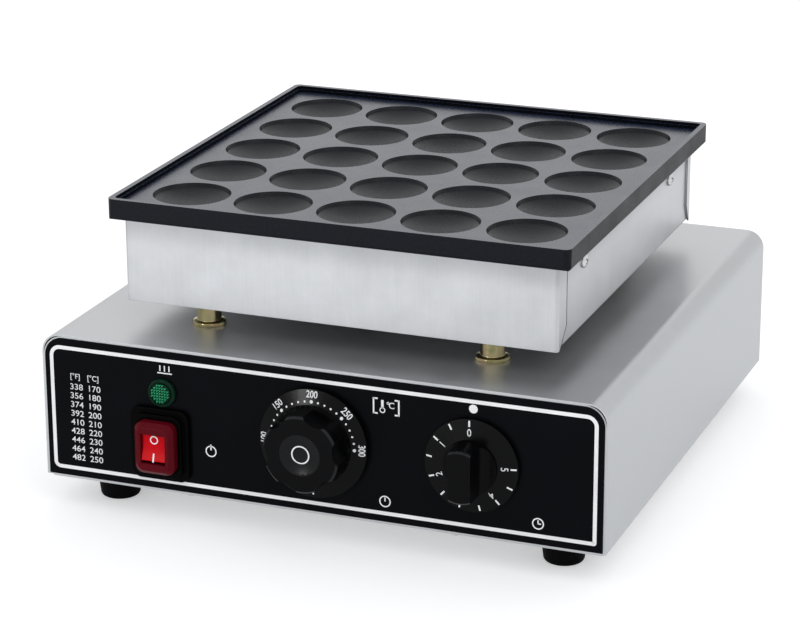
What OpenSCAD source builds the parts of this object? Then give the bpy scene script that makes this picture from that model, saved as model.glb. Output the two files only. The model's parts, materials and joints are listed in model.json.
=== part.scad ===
// Countertop mini pancake maker: a cast baking plate with a grid of round cups on a
// steel heater box, carried on four tubular spacers above a flat control base.
// Millimetres. Front is -Y, +Z is up, the feet stand on z = 0.

/* [Sheet metal] */
// Thickness of the stainless sheet
sheet = 1; // [0.8:0.1:1.5]
// Clearance on the radius of a hole that a screw or a tube passes through
hole_slip = 0.2; // [0.1:0.05:0.4]

/* [Base] */
// Width of the base shell
base_w = 337; // [325:1:380]
// Depth of the base shell from its front edge to its rear edge
base_d = 330; // [320:1:380]
// Height of the base shell
base_h = 86; // [82:1:110]
// Outer bend radius of the two long top edges of the shell
shell_bend = 11; // [8:0.5:14]
// Corner radius of the front and rear panels, larger than the bend inside the shell
panel_corner = 12; // [11:0.5:16]
// Depth of the folded returns on the front and rear panels
panel_return = 14; // [10:1:20]
// Width of the folded lips along the bottom of the shell
lip_w = 12; // [10:1:16]
// Thickness of the bottom plate
bottom_t = 1.5; // [1:0.1:2]
// How far the bottom plate stays inside the outline of the shell
bottom_inset = 1.5; // [0.5:0.5:4]
// Corner radius of the bottom plate
bottom_corner = 3; // [2:0.5:6]
// Gap at the ends of the folded lips and returns
fold_gap = 2; // [1:0.5:4]
// Distance of the outer side screws of the bottom plate from the middle one
side_screw_pitch = 110; // [90:1:120]
// Distance of the end screws of the bottom plate from the middle of the base
end_screw_x = 80; // [60:1:100]

/* [Feet] */
// Height of a rubber foot
foot_h = 17; // [12:0.5:24]
// Diameter of a foot where it meets the bottom plate
foot_top_d = 27; // [22:0.5:32]
// Diameter of a foot on the table
foot_low_d = 23; // [18:0.5:28]
// Distance of a foot's centre from the side of the base
foot_in_x = 32.5; // [26:0.5:45]
// Distance of a foot's centre from the front or the rear of the base
foot_in_y = 28; // [24:0.5:40]
// Rubber left above the recess for the screw head
foot_web = 7; // [5:0.5:9]
// Room round the screw head in the recess
foot_recess_gap = 1; // [0.5:0.1:2]
// Bevel round the bottom of a foot
foot_bevel = 1.2; // [0.6:0.1:2]

/* [Spacers under the heater box] */
// Clear height between the base and the heater box
standoff_h = 14.3; // [10:0.1:25]
// Diameter of a spacer's column
standoff_d = 14; // [12.5:0.5:16]
// Diameter of a spacer's flange
flange_d = 18.5; // [16.5:0.5:24]
// Thickness of a spacer's flange
flange_t = 2; // [1:0.5:4]
// Bevel between a spacer's flange and its column
flange_bevel = 0.8; // [0.4:0.1:1.2]
// Distance of the spacers from the middle of the width
standoff_x = 86; // [70:1:100]
// Distance of the spacers from the front and the rear of the base
standoff_in_y = 49; // [46:1:54]
// Outside diameter of the threaded tube through a spacer
tube_d = 10; // [9:0.5:10.5]
// Bore of the threaded tube, for the leads
tube_bore = 7; // [6:0.5:7.5]
// Width across the flats of the tube nuts
tube_nut_af = 14; // [13:0.5:17]
// Thickness of the tube nuts
tube_nut_t = 5; // [4:0.5:6]
// Length of tube that stands past its nut
tube_past = 2; // [1:0.5:4]

/* [Heater box] */
// Width of the heater box over its wrapped flanges
box_w = 259; // [256:0.5:262]
// Depth of the heater box
box_d = 263; // [260:0.5:266]
// Height of the heater box
box_h = 48.8; // [46:0.1:60]
// Outer bend radius of the box corners
box_bend = 2; // [1.5:0.1:2.3]
// Width of the flanges that wrap from the front sheet onto the sides
front_flange = 15; // [12:0.5:20]
// Width of the flanges that wrap from the rear sheet onto the sides
rear_flange = 9; // [7:0.5:14]
// Height of the slanted lower end of a flange
flange_slant = 12; // [8:0.5:18]
// Width left at the lowest point of a flange
flange_tip = 3.4; // [2.5:0.1:5]
// Thickness of the insulation on the floor of the box
blanket_t = 19; // [14:0.5:20]
// Room left round the insulation and its holes
blanket_gap = 1; // [0.5:0.1:2]

/* [Baking plate] */
// Width and depth of the baking plate
plate_w = 275; // [273:0.5:285]
// Thickness of the plate below its face, as it shows at the edge
plate_t = 8.7; // [8:0.1:12]
// Height of the rim above the face
rim_h = 3.6; // [2.6:0.1:6]
// Width of the top of the rim
rim_w = 3.2; // [2.5:0.1:5]
// Width of the ledge between the two steps of the rim
ledge_w = 1.4; // [1:0.1:3]
// Height of the ledge above the face
ledge_h = 1.8; // [1:0.1:2.4]
// Corner radius of the plate
plate_corner = 4; // [3:0.5:6]
// Corner radius inside the rim and on the pad
well_corner = 3; // [2:0.5:5]
// Radius of the rounded lower edge of the plate
plate_edge = 2; // [1:0.25:2.5]
// Depth of the pad under the plate that centres it in the box
pad_h = 3; // [2.5:0.5:5]
// Clearance between the pad and the inside of the box
pad_gap = 0.5; // [0.3:0.1:1]
// How far the plate and the box sit ahead of the middle of the base
cooker_fwd = 2; // [0:0.5:2.5]

/* [Cups] */
// Cups along one side of the grid
cups = 5; // [3:1:5]
// Diameter of a cup at the face
cup_d = 45; // [40:0.5:46]
// Diameter of a cup at the foot of its steep wall
cup_foot_d = 43; // [40:0.5:43.5]
// Depth of a cup at its middle
cup_depth = 7; // [6:0.1:8]
// Depth of the steep wall
cup_wall = 2.2; // [1.5:0.1:4]
// Distance from cup to cup
cup_pitch = 50.5; // [48:0.1:51]

/* [Heating element] */
// Diameter of the tubular element and of the thermostat bulb
element_d = 6.5; // [6:0.1:7.5]
// Half the length of a straight run of the element
element_half = 80; // [70:1:85]
// Distance between neighbouring runs
element_pitch = 50; // [46:1:52]
// Length of the cold ends beyond the runs
cold_end = 22; // [16:1:24]
// Length of the terminal pins on the cold ends
pin_l = 8; // [6:0.5:9]
// Diameter of the terminal pins
pin_d = 3; // [2.5:0.1:3.6]
// Length of the thermostat bulb
bulb_l = 80; // [60:1:84]
// Distance of the outer clamp bars from the middle one
clamp_pitch = 50; // [46:1:56]
// Width of a clamp bar
clamp_w = 18; // [14:0.5:24]
// Thickness of a clamp bar
clamp_t = 2; // [1.5:0.1:3]
// Length of a clamp bar
clamp_l = 180; // [174:1:200]
// Diameter of the clamp studs
stud_d = 6; // [5:0.5:6.5]
// Depth of a stud in the plate
stud_seat = 3; // [2:0.5:4]
// Width across the flats of a clamp nut
stud_nut_af = 10; // [9:0.5:12]
// Thickness of a clamp nut
stud_nut_t = 5; // [4:0.5:6]
// Small gap that keeps round pieces off flat ones
contact_gap = 0.15; // [0.05:0.05:0.3]

/* [Plate screws] */
// Distance of the side screws ahead of and behind the middle of the box
lug_y = 85; // [84:0.5:100]
// Height of the side screws below the box top
lug_drop = 10.3; // [8:0.1:14]
// Width of a screw lug under the plate
lug_w = 16; // [12:0.5:18]
// Thickness of a screw lug
lug_t = 10; // [8:0.5:12]
// Height of a screw lug
lug_h = 16.5; // [15:0.5:20]

/* [Screws] */
// Thread diameter of the machine screws
screw_d = 4; // [3:0.1:5]
// Head diameter of the machine screws
head_d = 8; // [7:0.1:9]
// Head height of the machine screws
head_h = 2.6; // [2:0.1:3]
// Height of the straight edge of a screw head
head_edge = 1; // [0.5:0.1:1.5]
// Length of a screw or stud that stands past its nut
screw_past = 2; // [1:0.5:4]
// Width across the flats of the small nuts
nut_af = 7; // [6.5:0.5:8]
// Thickness of the small nuts
nut_t = 3.2; // [2.5:0.1:4]

/* [Fascia] */
// Thickness of the printed fascia sheet
fascia_t = 0.5; // [0.3:0.1:1]
// Steel border left round the fascia
fascia_border = 0.8; // [0.5:0.1:2]

/* [Thermostat] */
// Place of the thermostat from the middle of the base
therm_x = 0; // [-6:0.5:10]
// Height of the thermostat above the lower edge of the shell
therm_up = 43; // [42:0.1:46]
// Radius of the numbered skirt of the thermostat knob
therm_skirt_r = 32; // [30:0.5:34]
// Thickness of that skirt at its edge
therm_skirt_t = 3.2; // [2.4:0.1:4]
// Rise of that skirt's face towards the collar
therm_skirt_rise = 2; // [1:0.1:3]
// Radius over the lobes of the grip
therm_grip_r = 22.5; // [21:0.1:23]
// Radius of the round collar under the grip, at its foot
therm_collar_r = 23.5; // [23:0.1:25]
// Height of the thermostat knob from the fascia
therm_knob_h = 23.2; // [22:0.1:28]
// Number of lobes on the grip
lobes = 6; // [5:1:8]
// Depth of the scallops between the lobes
scallop = 3; // [2:0.25:4]
// Radius of a scallop
scallop_r = 12; // [9:0.5:14]
// Turn of the lobes from the upright
lobe_turn = 8; // [0:1:30]
// Height of the collar between the skirt and the grip
collar_h = 3; // [2:0.1:5]
// Height of the plain band between the thermostat knob's collar and its scallops
grip_foot = 0.4; // [0.2:0.1:1]
// Radius of the dish in the front of the grip
dish_r = 12; // [9:0.5:14]
// Depth of the dish
dish_depth = 1.5; // [1:0.1:2.5]
// Width of the thermostat body
therm_body_w = 44; // [40:1:50]
// Height of the thermostat body
therm_body_h = 36; // [34:1:40]
// Depth of the thermostat body
therm_body_d = 33; // [28:1:36]
// Corner radius of the thermostat body
therm_body_corner = 3; // [2:0.5:6]
// Distance of the capillary from the top of the thermostat body
capillary_in = 4; // [3:0.5:8]

/* [Timer] */
// Place of the timer from the middle of the base
timer_x = 92.5; // [88:0.5:100]
// Height of the timer above the lower edge of the shell
timer_up = 42.6; // [42:0.1:46]
// Radius of the numbered skirt of the timer knob
timer_skirt_r = 27; // [25:0.5:29]
// Thickness of that skirt at its edge
timer_skirt_t = 2.2; // [1.8:0.1:3]
// Rise of that skirt's face towards the boss
timer_skirt_rise = 1.6; // [1:0.1:2.5]
// Radius of the round boss that carries the grip bar
timer_boss_r = 15.5; // [14.5:0.5:17]
// Thickness of the grip bar
timer_bar_t = 12.8; // [11:0.1:14]
// Radius at the root of the grip bar
timer_root_r = 6; // [3:0.5:8]
// Height of the floor beside the grip bar above the skirt
timer_root_up = 1.5; // [1:0.1:3]
// Height of the timer knob from the fascia
timer_knob_h = 23.1; // [22:0.1:28]
// Width and height of the timer body
timer_body_w = 48; // [44:1:52]
// Depth of the timer body
timer_body_d = 37; // [30:1:38]
// Corner radius of the timer body
timer_body_corner = 6; // [3:0.5:8]

/* [Spindles] */
// Diameter of the control spindles
spindle_d = 6; // [5:0.5:6.5]
// Depth of the flat on a spindle
spindle_flat = 1.5; // [1:0.1:2]
// Running clearance of a spindle in its bush, on the radius
spindle_run = 0.05; // [0.02:0.01:0.1]
// Clearance of a knob on its spindle, on the radius
knob_fit = 0.02; // [0.01:0.01:0.05]
// Outside diameter of a control's bush
bush_d = 10; // [9:0.5:11]
// Length of spindle inside a control
spindle_in = 18; // [14:0.5:22]
// Length of spindle inside a knob
spindle_out = 17; // [13:0.5:19]
// Spacing of the two screws that hold a control
control_screw_pitch = 28; // [26:0.5:30]
// Length of those screws behind the front panel
control_screw_in = 6.4; // [5:0.1:7]
// Room between the heads of those screws and the knob
control_screw_gap = 0.3; // [0.2:0.05:0.4]
// Gap between a knob's skirt and the fascia
knob_gap = 0.8; // [0.5:0.1:0.95]
// Bevel round the front of a knob
knob_bevel = 1.2; // [0.6:0.1:2]
// Wall of the hollow in the thermostat knob
knob_wall = 3; // [2:0.5:4]
// Thickness of the thermostat knob in front of its hollow
knob_roof = 7; // [5:0.5:9]

/* [Switch] */
// Place of the switch from the middle of the base
switch_x = -94.5; // [-100:0.5:-90]
// Height of the switch above the lower edge of the shell
switch_up = 29; // [27:0.5:31]
// Width of the bezel's flange
bezel_w = 36; // [34:0.5:38]
// Height of the bezel's flange
bezel_h = 43; // [41:0.5:45]
// Thickness of the bezel's flange
bezel_t = 3; // [2:0.1:4]
// Corner radius of the bezel
bezel_corner = 6; // [5:0.5:7]
// Width of the bezel's raised frame
frame_w = 29.5; // [28.5:0.5:32]
// Height of the bezel's raised frame
frame_h = 37.5; // [36.5:0.5:40]
// Height of the raised frame from the fascia
frame_t = 6; // [5:0.1:8]
// Corner radius of the soft cover round the rocker
boot_corner = 5; // [4:0.5:5.5]
// Width of the soft cover
boot_w = 24.2; // [23.8:0.1:25]
// Height of the soft cover up the panel
boot_h = 30.8; // [30.4:0.1:32]
// Height of the soft cover from the fascia
boot_t = 12.5; // [12:0.1:14]
// Width of the slope round the front of the soft cover
boot_slope = 2.5; // [2:0.1:3]
// Width of the rocker window
window_w = 15; // [13.5:0.1:15.4]
// Radius of the rocker about its pivot
rocker_r = 8.5; // [8.2:0.1:9]
// Room between the rocker and its window
rocker_gap = 0.3; // [0.25:0.05:0.5]
// Angle of each half of the rocker's face
rocker_tilt = 8; // [5:0.5:9]
// Depth of the valley of the face ahead of the pivot
rocker_face = 3.2; // [2.5:0.1:3.6]
// Depth of the rocker behind the pivot
rocker_back = 5; // [4:0.1:5.4]
// Diameter of the pivot pins
pivot_d = 2.5; // [2:0.1:3]
// Length of the pivot pins
pivot_l = 1.6; // [1:0.1:1.8]
// Plastic left in front of the pivot holes
pivot_cover = 1.2; // [1:0.1:1.4]
// Width of the switch body's nose
nose_w = 20; // [19.5:0.1:20.2]
// Height of the nose up the panel
nose_h = 26.4; // [25.6:0.1:26.6]
// Height of the nose from the fascia
nose_t = 9.3; // [9:0.1:9.6]
// Width of the switch body in the panel
switch_w = 22.1; // [21:0.1:23]
// Height of the switch body in the panel
switch_h = 29.5; // [28:0.1:31]
// Depth of the switch body behind the fascia
switch_d = 23; // [18:0.5:26]
// Clearance of the switch parts in each other
switch_gap = 0.2; // [0.1:0.05:0.3]
// Width of a switch terminal
blade_w = 6.3; // [4.8:0.1:6.3]
// Thickness of a switch terminal
blade_t = 0.8; // [0.5:0.1:1]
// Length of a switch terminal
blade_l = 8; // [6:0.5:10]

/* [Lamp] */
// Place of the lamp from the middle of the base
lamp_x = -93; // [-96:0.5:-86]
// Height of the lamp above the lower edge of the shell
lamp_up = 59.6; // [59.4:0.1:64]
// Radius of the rim round the lens
lamp_rim_r = 8.4; // [8:0.1:8.6]
// Height of the rim from the fascia
lamp_rim_h = 2.6; // [2.2:0.1:3]
// Width and depth of the groove between the rim and the lens
lamp_groove = 0.7; // [0.4:0.1:0.8]
// Radius of the lens
lens_r = 6.1; // [5.8:0.1:6.3]
// Height of the lens from the fascia
lens_h = 3.6; // [3.3:0.1:4.5]
// Wall of the lens
lens_wall = 1.2; // [1:0.1:1.3]
// Bevel round the rim and the lens
lens_bevel = 0.7; // [0.4:0.1:0.8]
// Room between the bulb and the lens
bulb_gap = 0.6; // [0.4:0.1:1]
// Diameter of the lamp's barrel
barrel_d = 10; // [9:0.1:11]
// Length of the barrel behind the fascia
barrel_l = 26; // [20:0.5:32]
// Width across the flats of the lamp nut
lamp_nut_af = 14; // [12.5:0.5:17]
// Thickness of the lamp nut
lamp_nut_t = 3; // [2:0.5:5]

/* [Rear] */
// Place of the cord gland from the middle of the base
gland_x = -105; // [-115:1:-95]
// Height of the cord gland above the lower edge of the shell
gland_up = 26; // [22:1:36]
// Bore of the cord gland
gland_bore = 7.5; // [6:0.1:9]
// Thread diameter of the gland
gland_d = 15; // [13:0.5:18]
// Width across the flats of the gland and its nut
gland_af = 22; // [20:0.5:26]
// Thickness of the gland's hexagon
gland_hex_t = 6; // [4:0.5:8]
// Height of the gland's round cap beyond the hexagon
gland_cap_h = 10; // [6:0.5:14]
// Diameter of the gland's round cap
gland_cap_d = 18; // [16:0.5:19.5]
// Bevel round the end of the gland's cap
gland_cap_bevel = 2; // [1:0.5:3]
// Thickness of the gland nut
gland_nut_t = 5; // [4:0.5:6]
// Length of the gland's stem that stands past its nut
gland_past = 4; // [2:0.5:8]
// Width of a vent slot
slot_w = 4; // [3:0.5:5]
// Length of a vent slot
slot_l = 34; // [24:1:40]
// Spacing of the vent slots
slot_pitch = 11; // [9:0.5:14]
// Number of slots in a row
slots = 9; // [5:1:11]

/* [Inside the base] */
// Place of the terminal block from the middle of the base
block_x = -60; // [-70:1:-50]
// Distance of the terminal block's middle from the rear of the base
block_in_y = 40; // [36:1:50]
// Length of the terminal block
block_l = 40; // [36:1:50]
// Depth of the terminal block
block_d = 20; // [16:1:24]
// Height of the terminal block
block_h = 18; // [14:1:20]
// Length of the clamping screws in the terminal block
block_screw_l = 5; // [4:0.5:8]
// Height of the earth stud
earth_h = 14; // [10:1:18]
// Height of the earth stud's collar
earth_collar_h = 4; // [2:0.5:6]
// Diameter of the insulated leads
lead_d = 3.2; // [2.4:0.1:3.6]
// Diameter of the capillary tube
capillary_d = 1.6; // [1.2:0.1:2]

/* [Hidden] */
$fn = 64;

// A little extra length for cutters
cut = 1;

// Heights from the table up
z_bottom = foot_h;
z_shell = z_bottom + bottom_t;
z_top = z_shell + base_h;
z_box = z_top + standoff_h;
z_skirt = z_box + box_h;
z_face = z_skirt + plate_t;
z_pad = z_skirt - pad_h;
z_element = z_pad - contact_gap - element_d / 2;
z_clamp = z_element - element_d / 2 - contact_gap;

// Depths
y_front = -base_d / 2;
y_rear = base_d / 2;
y_fascia = y_front - fascia_t;
y_cooker = -cooker_fwd;
standoff_y = base_d / 2 - standoff_in_y;
front_reach = fascia_t + max(therm_knob_h, timer_knob_h);
rear_reach = gland_hex_t + gland_cap_h;
frame_y = (front_reach - rear_reach) / 2;

// Sizes that follow
panel_w = base_w - 2 * sheet;
panel_h = base_h - sheet;
lip_inset = panel_return + fold_gap;
lip_x = base_w / 2 - sheet - lip_w / 2;
foot_x = base_w / 2 - foot_in_x;
foot_y = base_d / 2 - foot_in_y;
tray_w = box_w - 2 * sheet;
tray_d = box_d - 2 * sheet;
pad_w = tray_w - 2 * sheet - 2 * pad_gap;
pad_d = tray_d - 2 * pad_gap;
window_h = 2 * (rocker_r + rocker_gap);
pivot_up = nose_t - pivot_d / 2 - pivot_cover;
boot_in_w = nose_w + 2 * switch_gap;
boot_in_h = nose_h + 2 * switch_gap;
switch_hole_w = switch_w + 2 * switch_gap;
switch_hole_h = switch_h + 2 * switch_gap;
therm_z = z_shell + therm_up;
timer_z = z_shell + timer_up;
switch_z = z_shell + switch_up;
lamp_z = z_shell + lamp_up;
gland_z = z_shell + gland_up;
control_depth = fascia_t + sheet;
lug_x = pad_w / 2 - lug_t / 2;
lug_z = z_skirt - lug_drop;
run_y = [for (i = [0:3]) (i - 1.5) * element_pitch];
block_y = y_rear - block_in_y;

// Finishes
steel = [0.78, 0.79, 0.80];
zinc = [0.80, 0.72, 0.45];
coated = [0.22, 0.22, 0.24];
black = [0.07, 0.07, 0.08];
copper = [0.72, 0.45, 0.25];
ceramic = [0.92, 0.90, 0.85];
red = [0.75, 0.05, 0.07];
green = [0.05, 0.55, 0.25];

// Moves the whole object so that the middle of its outline stands over the origin
module place() {
    translate([0, frame_y, 0]) children();
}

// Stands a shape on the front of the fascia, its +Z towards the user and its +Y up
module on_front(x, z) {
    translate([x, y_fascia, z]) rotate([90, 0, 0]) children();
}

// Stands a shape on the rear panel, its +Z away from the base
module on_rear(x, z) {
    translate([x, y_rear, z]) rotate([-90, 0, 0]) children();
}

// Repeats a shape at the four places given by a distance in x and in y
module at_corners(x, y) {
    for (sx = [-1, 1])
        for (sy = [-1, 1])
            translate([sx * x, sy * y, 0]) children();
}

// Rounded rectangle
module rounded_rect(w, d, r) {
    square([w - 2 * r, d], center = true);
    square([w, d - 2 * r], center = true);
    for (sx = [-1, 1])
        for (sy = [-1, 1])
            translate([sx * (w / 2 - r), sy * (d / 2 - r)]) circle(r);
}

// Upright outline with a flat foot at y = 0 and rounded top corners
module arch(w, h, r) {
    translate([-w / 2, 0]) square([w, h - r]);
    translate([r - w / 2, 0]) square([w - 2 * r, h]);
    for (s = [-1, 1])
        translate([s * (w / 2 - r), h - r]) circle(r);
}

// Slab with rounded upright corners and a rounded lower edge
module pillow_slab(w, h, corner, edge) {
    intersection() {
        linear_extrude(h) rounded_rect(w, w, corner);
        trough(w, h, edge);
        rotate([0, 0, 90]) trough(w, h, edge);
    }
}

// Bar along y with a flat top at z = h and rounded lower edges
module trough(w, h, edge) {
    translate([0, w / 2 + cut, h]) rotate([90, 0, 0]) linear_extrude(w + 2 * cut) mirror([0, 1])
        arch(w, h, edge);
}

// Hexagonal nut standing on z = 0
module hex_nut(af, bore, h) {
    difference() {
        cylinder(h = h, d = af / cos(30), $fn = 6);
        translate([0, 0, -cut]) cylinder(h = h + 2 * cut, d = bore);
    }
}

// Domed screw: the head stands above z = 0 and the shank hangs below
module pan_screw(shank) {
    rise = head_h - head_edge;
    dome_r = (pow(head_d / 2, 2) + pow(rise, 2)) / (2 * rise);
    intersection() {
        cylinder(h = head_h, d = head_d);
        translate([0, 0, head_h - dome_r]) sphere(dome_r);
    }
    translate([0, 0, -shank]) cylinder(h = shank + head_edge / 2, d = screw_d);
}

// Unit vector
function unit(v) = v / norm(v);

// Point on a smooth curve through p, at u from point i to the next
function curve_at(p, i, u) =
    let (a = p[max(i - 1, 0)], b = p[i], c = p[i + 1], d = p[min(i + 2, len(p) - 1)])
    0.5 * (2 * b + (c - a) * u + (2 * a - 5 * b + 4 * c - d) * u * u + (3 * b - a - 3 * c + d) * u * u * u);

// Smooth route through hand-placed points, with straight first and last stretches
function route(p, n = 4) = concat(
    [p[0]],
    [for (i = [1:len(p) - 3]) for (k = [0:n - 1]) curve_at(p, i, k / n)],
    [p[len(p) - 2], p[len(p) - 1]]);

// Direction of a route at each point
function headings(p) = [for (i = [0:len(p) - 1])
    unit(p[min(i + 1, len(p) - 1)] - p[max(i - 1, 0)])];

// Side vectors carried along a route without twist
function carried(t, i, s) = i == len(t) ? [] :
    let (n = unit(s - (s * t[i]) * t[i])) concat([n], carried(t, i + 1, n));

// Round wire swept along hand-placed points
module wire(points, d, sides = 8) {
    p = route(points);
    t = headings(p);
    first = abs(t[0].z) < 0.8 ? [0, 0, 1] : [1, 0, 0];
    s = carried(t, 0, first);
    rings = [for (i = [0:len(p) - 1]) for (k = [0:sides - 1])
        p[i] + d / 2 * (cos(360 * k / sides) * s[i] + sin(360 * k / sides) * cross(t[i], s[i]))];
    last = (len(p) - 1) * sides;
    faces = concat(
        [[for (k = [0:sides - 1]) k]],
        [for (i = [0:len(p) - 2]) for (k = [0:sides - 1])
            let (a = i * sides + k, b = i * sides + (k + 1) % sides)
            each [[a, a + sides, b], [b, a + sides, b + sides]]],
        [[for (k = [sides - 1:-1:0]) last + k]]);
    polyhedron(rings, faces);
}

// Folded stainless cover: top, two sides and the lips that the bottom plate screws to
module base_shell() {
    color(steel) difference() {
        union() {
            translate([0, base_d / 2, z_shell]) rotate([90, 0, 0]) linear_extrude(base_d) difference() {
                arch(base_w, base_h, shell_bend);
                translate([0, -cut]) arch(panel_w, panel_h + cut, shell_bend - sheet);
            }
            for (s = [-1, 1])
                translate([s * lip_x, 0, z_shell + sheet / 2])
                    cube([lip_w + sheet, base_d - 2 * lip_inset, sheet], center = true);
        }
        at_corners(standoff_x, standoff_y)
            translate([0, 0, z_top - sheet - cut]) cylinder(h = sheet + 2 * cut, r = tube_d / 2 + hole_slip);
        bottom_screw_holes();
    }
}

// Holes for the screws of the bottom plate, through the plate and what it screws to
module bottom_screw_holes() {
    bottom_screw_places() translate([0, 0, z_bottom - cut])
        cylinder(h = bottom_t + sheet + 2 * cut, r = screw_d / 2 + hole_slip);
}

// Repeats a shape at every screw of the bottom plate
module bottom_screw_places() {
    for (s = [-1, 1])
        for (i = [-1:1])
            translate([s * lip_x, i * side_screw_pitch, 0]) children();
    at_corners(end_screw_x, base_d / 2 - panel_return / 2) children();
}

// Flat panel with folded returns, set in the front mouth of the shell
module panel_pan() {
    side_h = panel_h - panel_corner;
    top_w = panel_w - 2 * panel_corner - 2 * fold_gap;
    low_w = panel_w - 2 * fold_gap;
    translate([0, y_front + sheet, z_shell]) rotate([90, 0, 0]) linear_extrude(sheet)
        arch(panel_w, panel_h, panel_corner);
    for (s = [-1, 1])
        translate([s * (panel_w - sheet) / 2, y_front + panel_return / 2, z_shell + side_h / 2])
            cube([sheet, panel_return, side_h - 2 * fold_gap], center = true);
    translate([0, y_front + panel_return / 2, z_top - 1.5 * sheet])
        cube([top_w, panel_return, sheet], center = true);
    translate([0, y_front + panel_return / 2, z_shell + sheet / 2])
        cube([low_w, panel_return, sheet], center = true);
}

// Front panel with the cut-outs for the controls
module front_panel() {
    color(steel) difference() {
        panel_pan();
        for (c = [[therm_x, therm_z], [timer_x, timer_z]])
            on_front(c.x, c.y) {
                through_front(bush_d / 2 + hole_slip);
                for (s = [-1, 1])
                    translate([s * control_screw_pitch / 2, 0, 0]) through_front(screw_d / 2 + hole_slip);
            }
        on_front(switch_x, switch_z) translate([0, 0, -control_depth - cut])
            linear_extrude(control_depth + cut) square([switch_hole_w, switch_hole_h], center = true);
        on_front(lamp_x, lamp_z) through_front(barrel_d / 2 + hole_slip);
        bottom_screw_holes();
    }
}

// Round hole through the fascia and the front panel
module through_front(r) {
    translate([0, 0, -control_depth - cut]) cylinder(h = control_depth + 2 * cut, r = r);
}

// Printed black sheet glued to the front panel
module front_fascia() {
    color(black) difference() {
        translate([0, y_front, z_shell + fascia_border]) rotate([90, 0, 0]) linear_extrude(fascia_t)
            arch(panel_w - 2 * fascia_border, panel_h - 2 * fascia_border, panel_corner - fascia_border);
        for (c = [[therm_x, therm_z], [timer_x, timer_z]])
            on_front(c.x, c.y) {
                through_front(bush_d / 2 + hole_slip);
                for (s = [-1, 1])
                    translate([s * control_screw_pitch / 2, 0, 0]) through_front(head_d / 2 + hole_slip);
            }
        on_front(switch_x, switch_z) translate([0, 0, -control_depth])
            linear_extrude(control_depth + cut) square([switch_hole_w, switch_hole_h], center = true);
        on_front(lamp_x, lamp_z) through_front(barrel_d / 2 + hole_slip);
    }
}

// Rear panel with vent slots and the hole for the cord gland
module rear_panel() {
    color(steel) difference() {
        mirror([0, 1, 0]) panel_pan();
        on_rear(gland_x, gland_z) translate([0, 0, -sheet - cut])
            cylinder(h = sheet + 2 * cut, r = gland_d / 2 + hole_slip);
        on_rear(0, z_shell + base_h / 2) translate([0, 0, -sheet - cut])
            linear_extrude(sheet + 2 * cut) slot_row();
        bottom_screw_holes();
    }
}

// Row of upright slots with round ends
module slot_row() {
    for (i = [0:slots - 1])
        translate([(i - (slots - 1) / 2) * slot_pitch, 0]) {
            square([slot_w, slot_l - slot_w], center = true);
            for (s = [-1, 1])
                translate([0, s * (slot_l - slot_w) / 2]) circle(d = slot_w);
        }
}

// Bottom plate with two rows of vent slots
module bottom_plate() {
    color(steel) difference() {
        translate([0, 0, z_bottom]) linear_extrude(bottom_t) difference() {
            rounded_rect(base_w - 2 * bottom_inset, base_d - 2 * bottom_inset, bottom_corner);
            at_corners(foot_x, foot_y) circle(screw_d / 2 + hole_slip);
            for (s = [-1, 1])
                translate([0, s * slot_l]) slot_row();
        }
        bottom_screw_holes();
    }
}

// Screws of the bottom plate
module bottom_screws() {
    color(steel) bottom_screw_places()
        translate([0, 0, z_bottom]) rotate([180, 0, 0]) pan_screw(bottom_t + sheet + screw_d);
}

// Tapered rubber feet, each with a recess for its screw head
module rubber_feet() {
    recess_r = head_d / 2 + foot_recess_gap;
    hole_r = screw_d / 2 + hole_slip;
    color(black) at_corners(foot_x, foot_y) rotate_extrude() polygon([
        [recess_r, 0], [foot_low_d / 2 - foot_bevel, 0], [foot_low_d / 2, foot_bevel],
        [foot_top_d / 2, foot_h], [hole_r, foot_h], [hole_r, foot_h - foot_web], [recess_r, foot_h - foot_web]
    ]);
}

// Screws of the feet
module foot_screws() {
    color(steel) at_corners(foot_x, foot_y) translate([0, 0, foot_h - foot_web]) rotate([180, 0, 0])
        pan_screw(foot_web + bottom_t + nut_t + screw_past);
}

// Nuts of the foot screws, on the bottom plate
module foot_nuts() {
    color(steel) at_corners(foot_x, foot_y) translate([0, 0, z_shell])
        hex_nut(nut_af, screw_d + 2 * hole_slip, nut_t);
}

// Cable gland in the rear panel: hexagon, domed cap and a threaded stem through the panel
module cord_gland() {
    stem = sheet + gland_nut_t + gland_past;
    cap_z = gland_hex_t + gland_cap_h;
    color(black) on_rear(gland_x, gland_z) difference() {
        union() {
            cylinder(h = gland_hex_t, d = gland_af / cos(30), $fn = 6);
            rotate_extrude() polygon([
                [0, -stem], [gland_d / 2, -stem], [gland_d / 2, 0], [gland_d / 2, gland_hex_t / 2],
                [gland_cap_d / 2, gland_hex_t / 2], [gland_cap_d / 2, cap_z - gland_cap_bevel],
                [gland_cap_d / 2 - gland_cap_bevel, cap_z], [0, cap_z]
            ]);
        }
        translate([0, 0, -stem - cut])
            cylinder(h = stem + cap_z + 2 * cut, d = gland_bore);
    }
}

// Nut that holds the gland from inside
module gland_nut() {
    color(black) on_rear(gland_x, gland_z) translate([0, 0, -sheet - gland_nut_t])
        hex_nut(gland_af, gland_d + 2 * hole_slip, gland_nut_t);
}

// Flanged spacers between the base and the heater box
module standoffs() {
    bore_r = tube_d / 2 + hole_slip;
    color(zinc) at_corners(standoff_x, standoff_y) translate([0, 0, z_top]) rotate_extrude() polygon([
        [bore_r, 0], [flange_d / 2, 0], [flange_d / 2, flange_t],
        [standoff_d / 2, flange_t + flange_bevel], [standoff_d / 2, standoff_h], [bore_r, standoff_h]
    ]);
}

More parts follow.
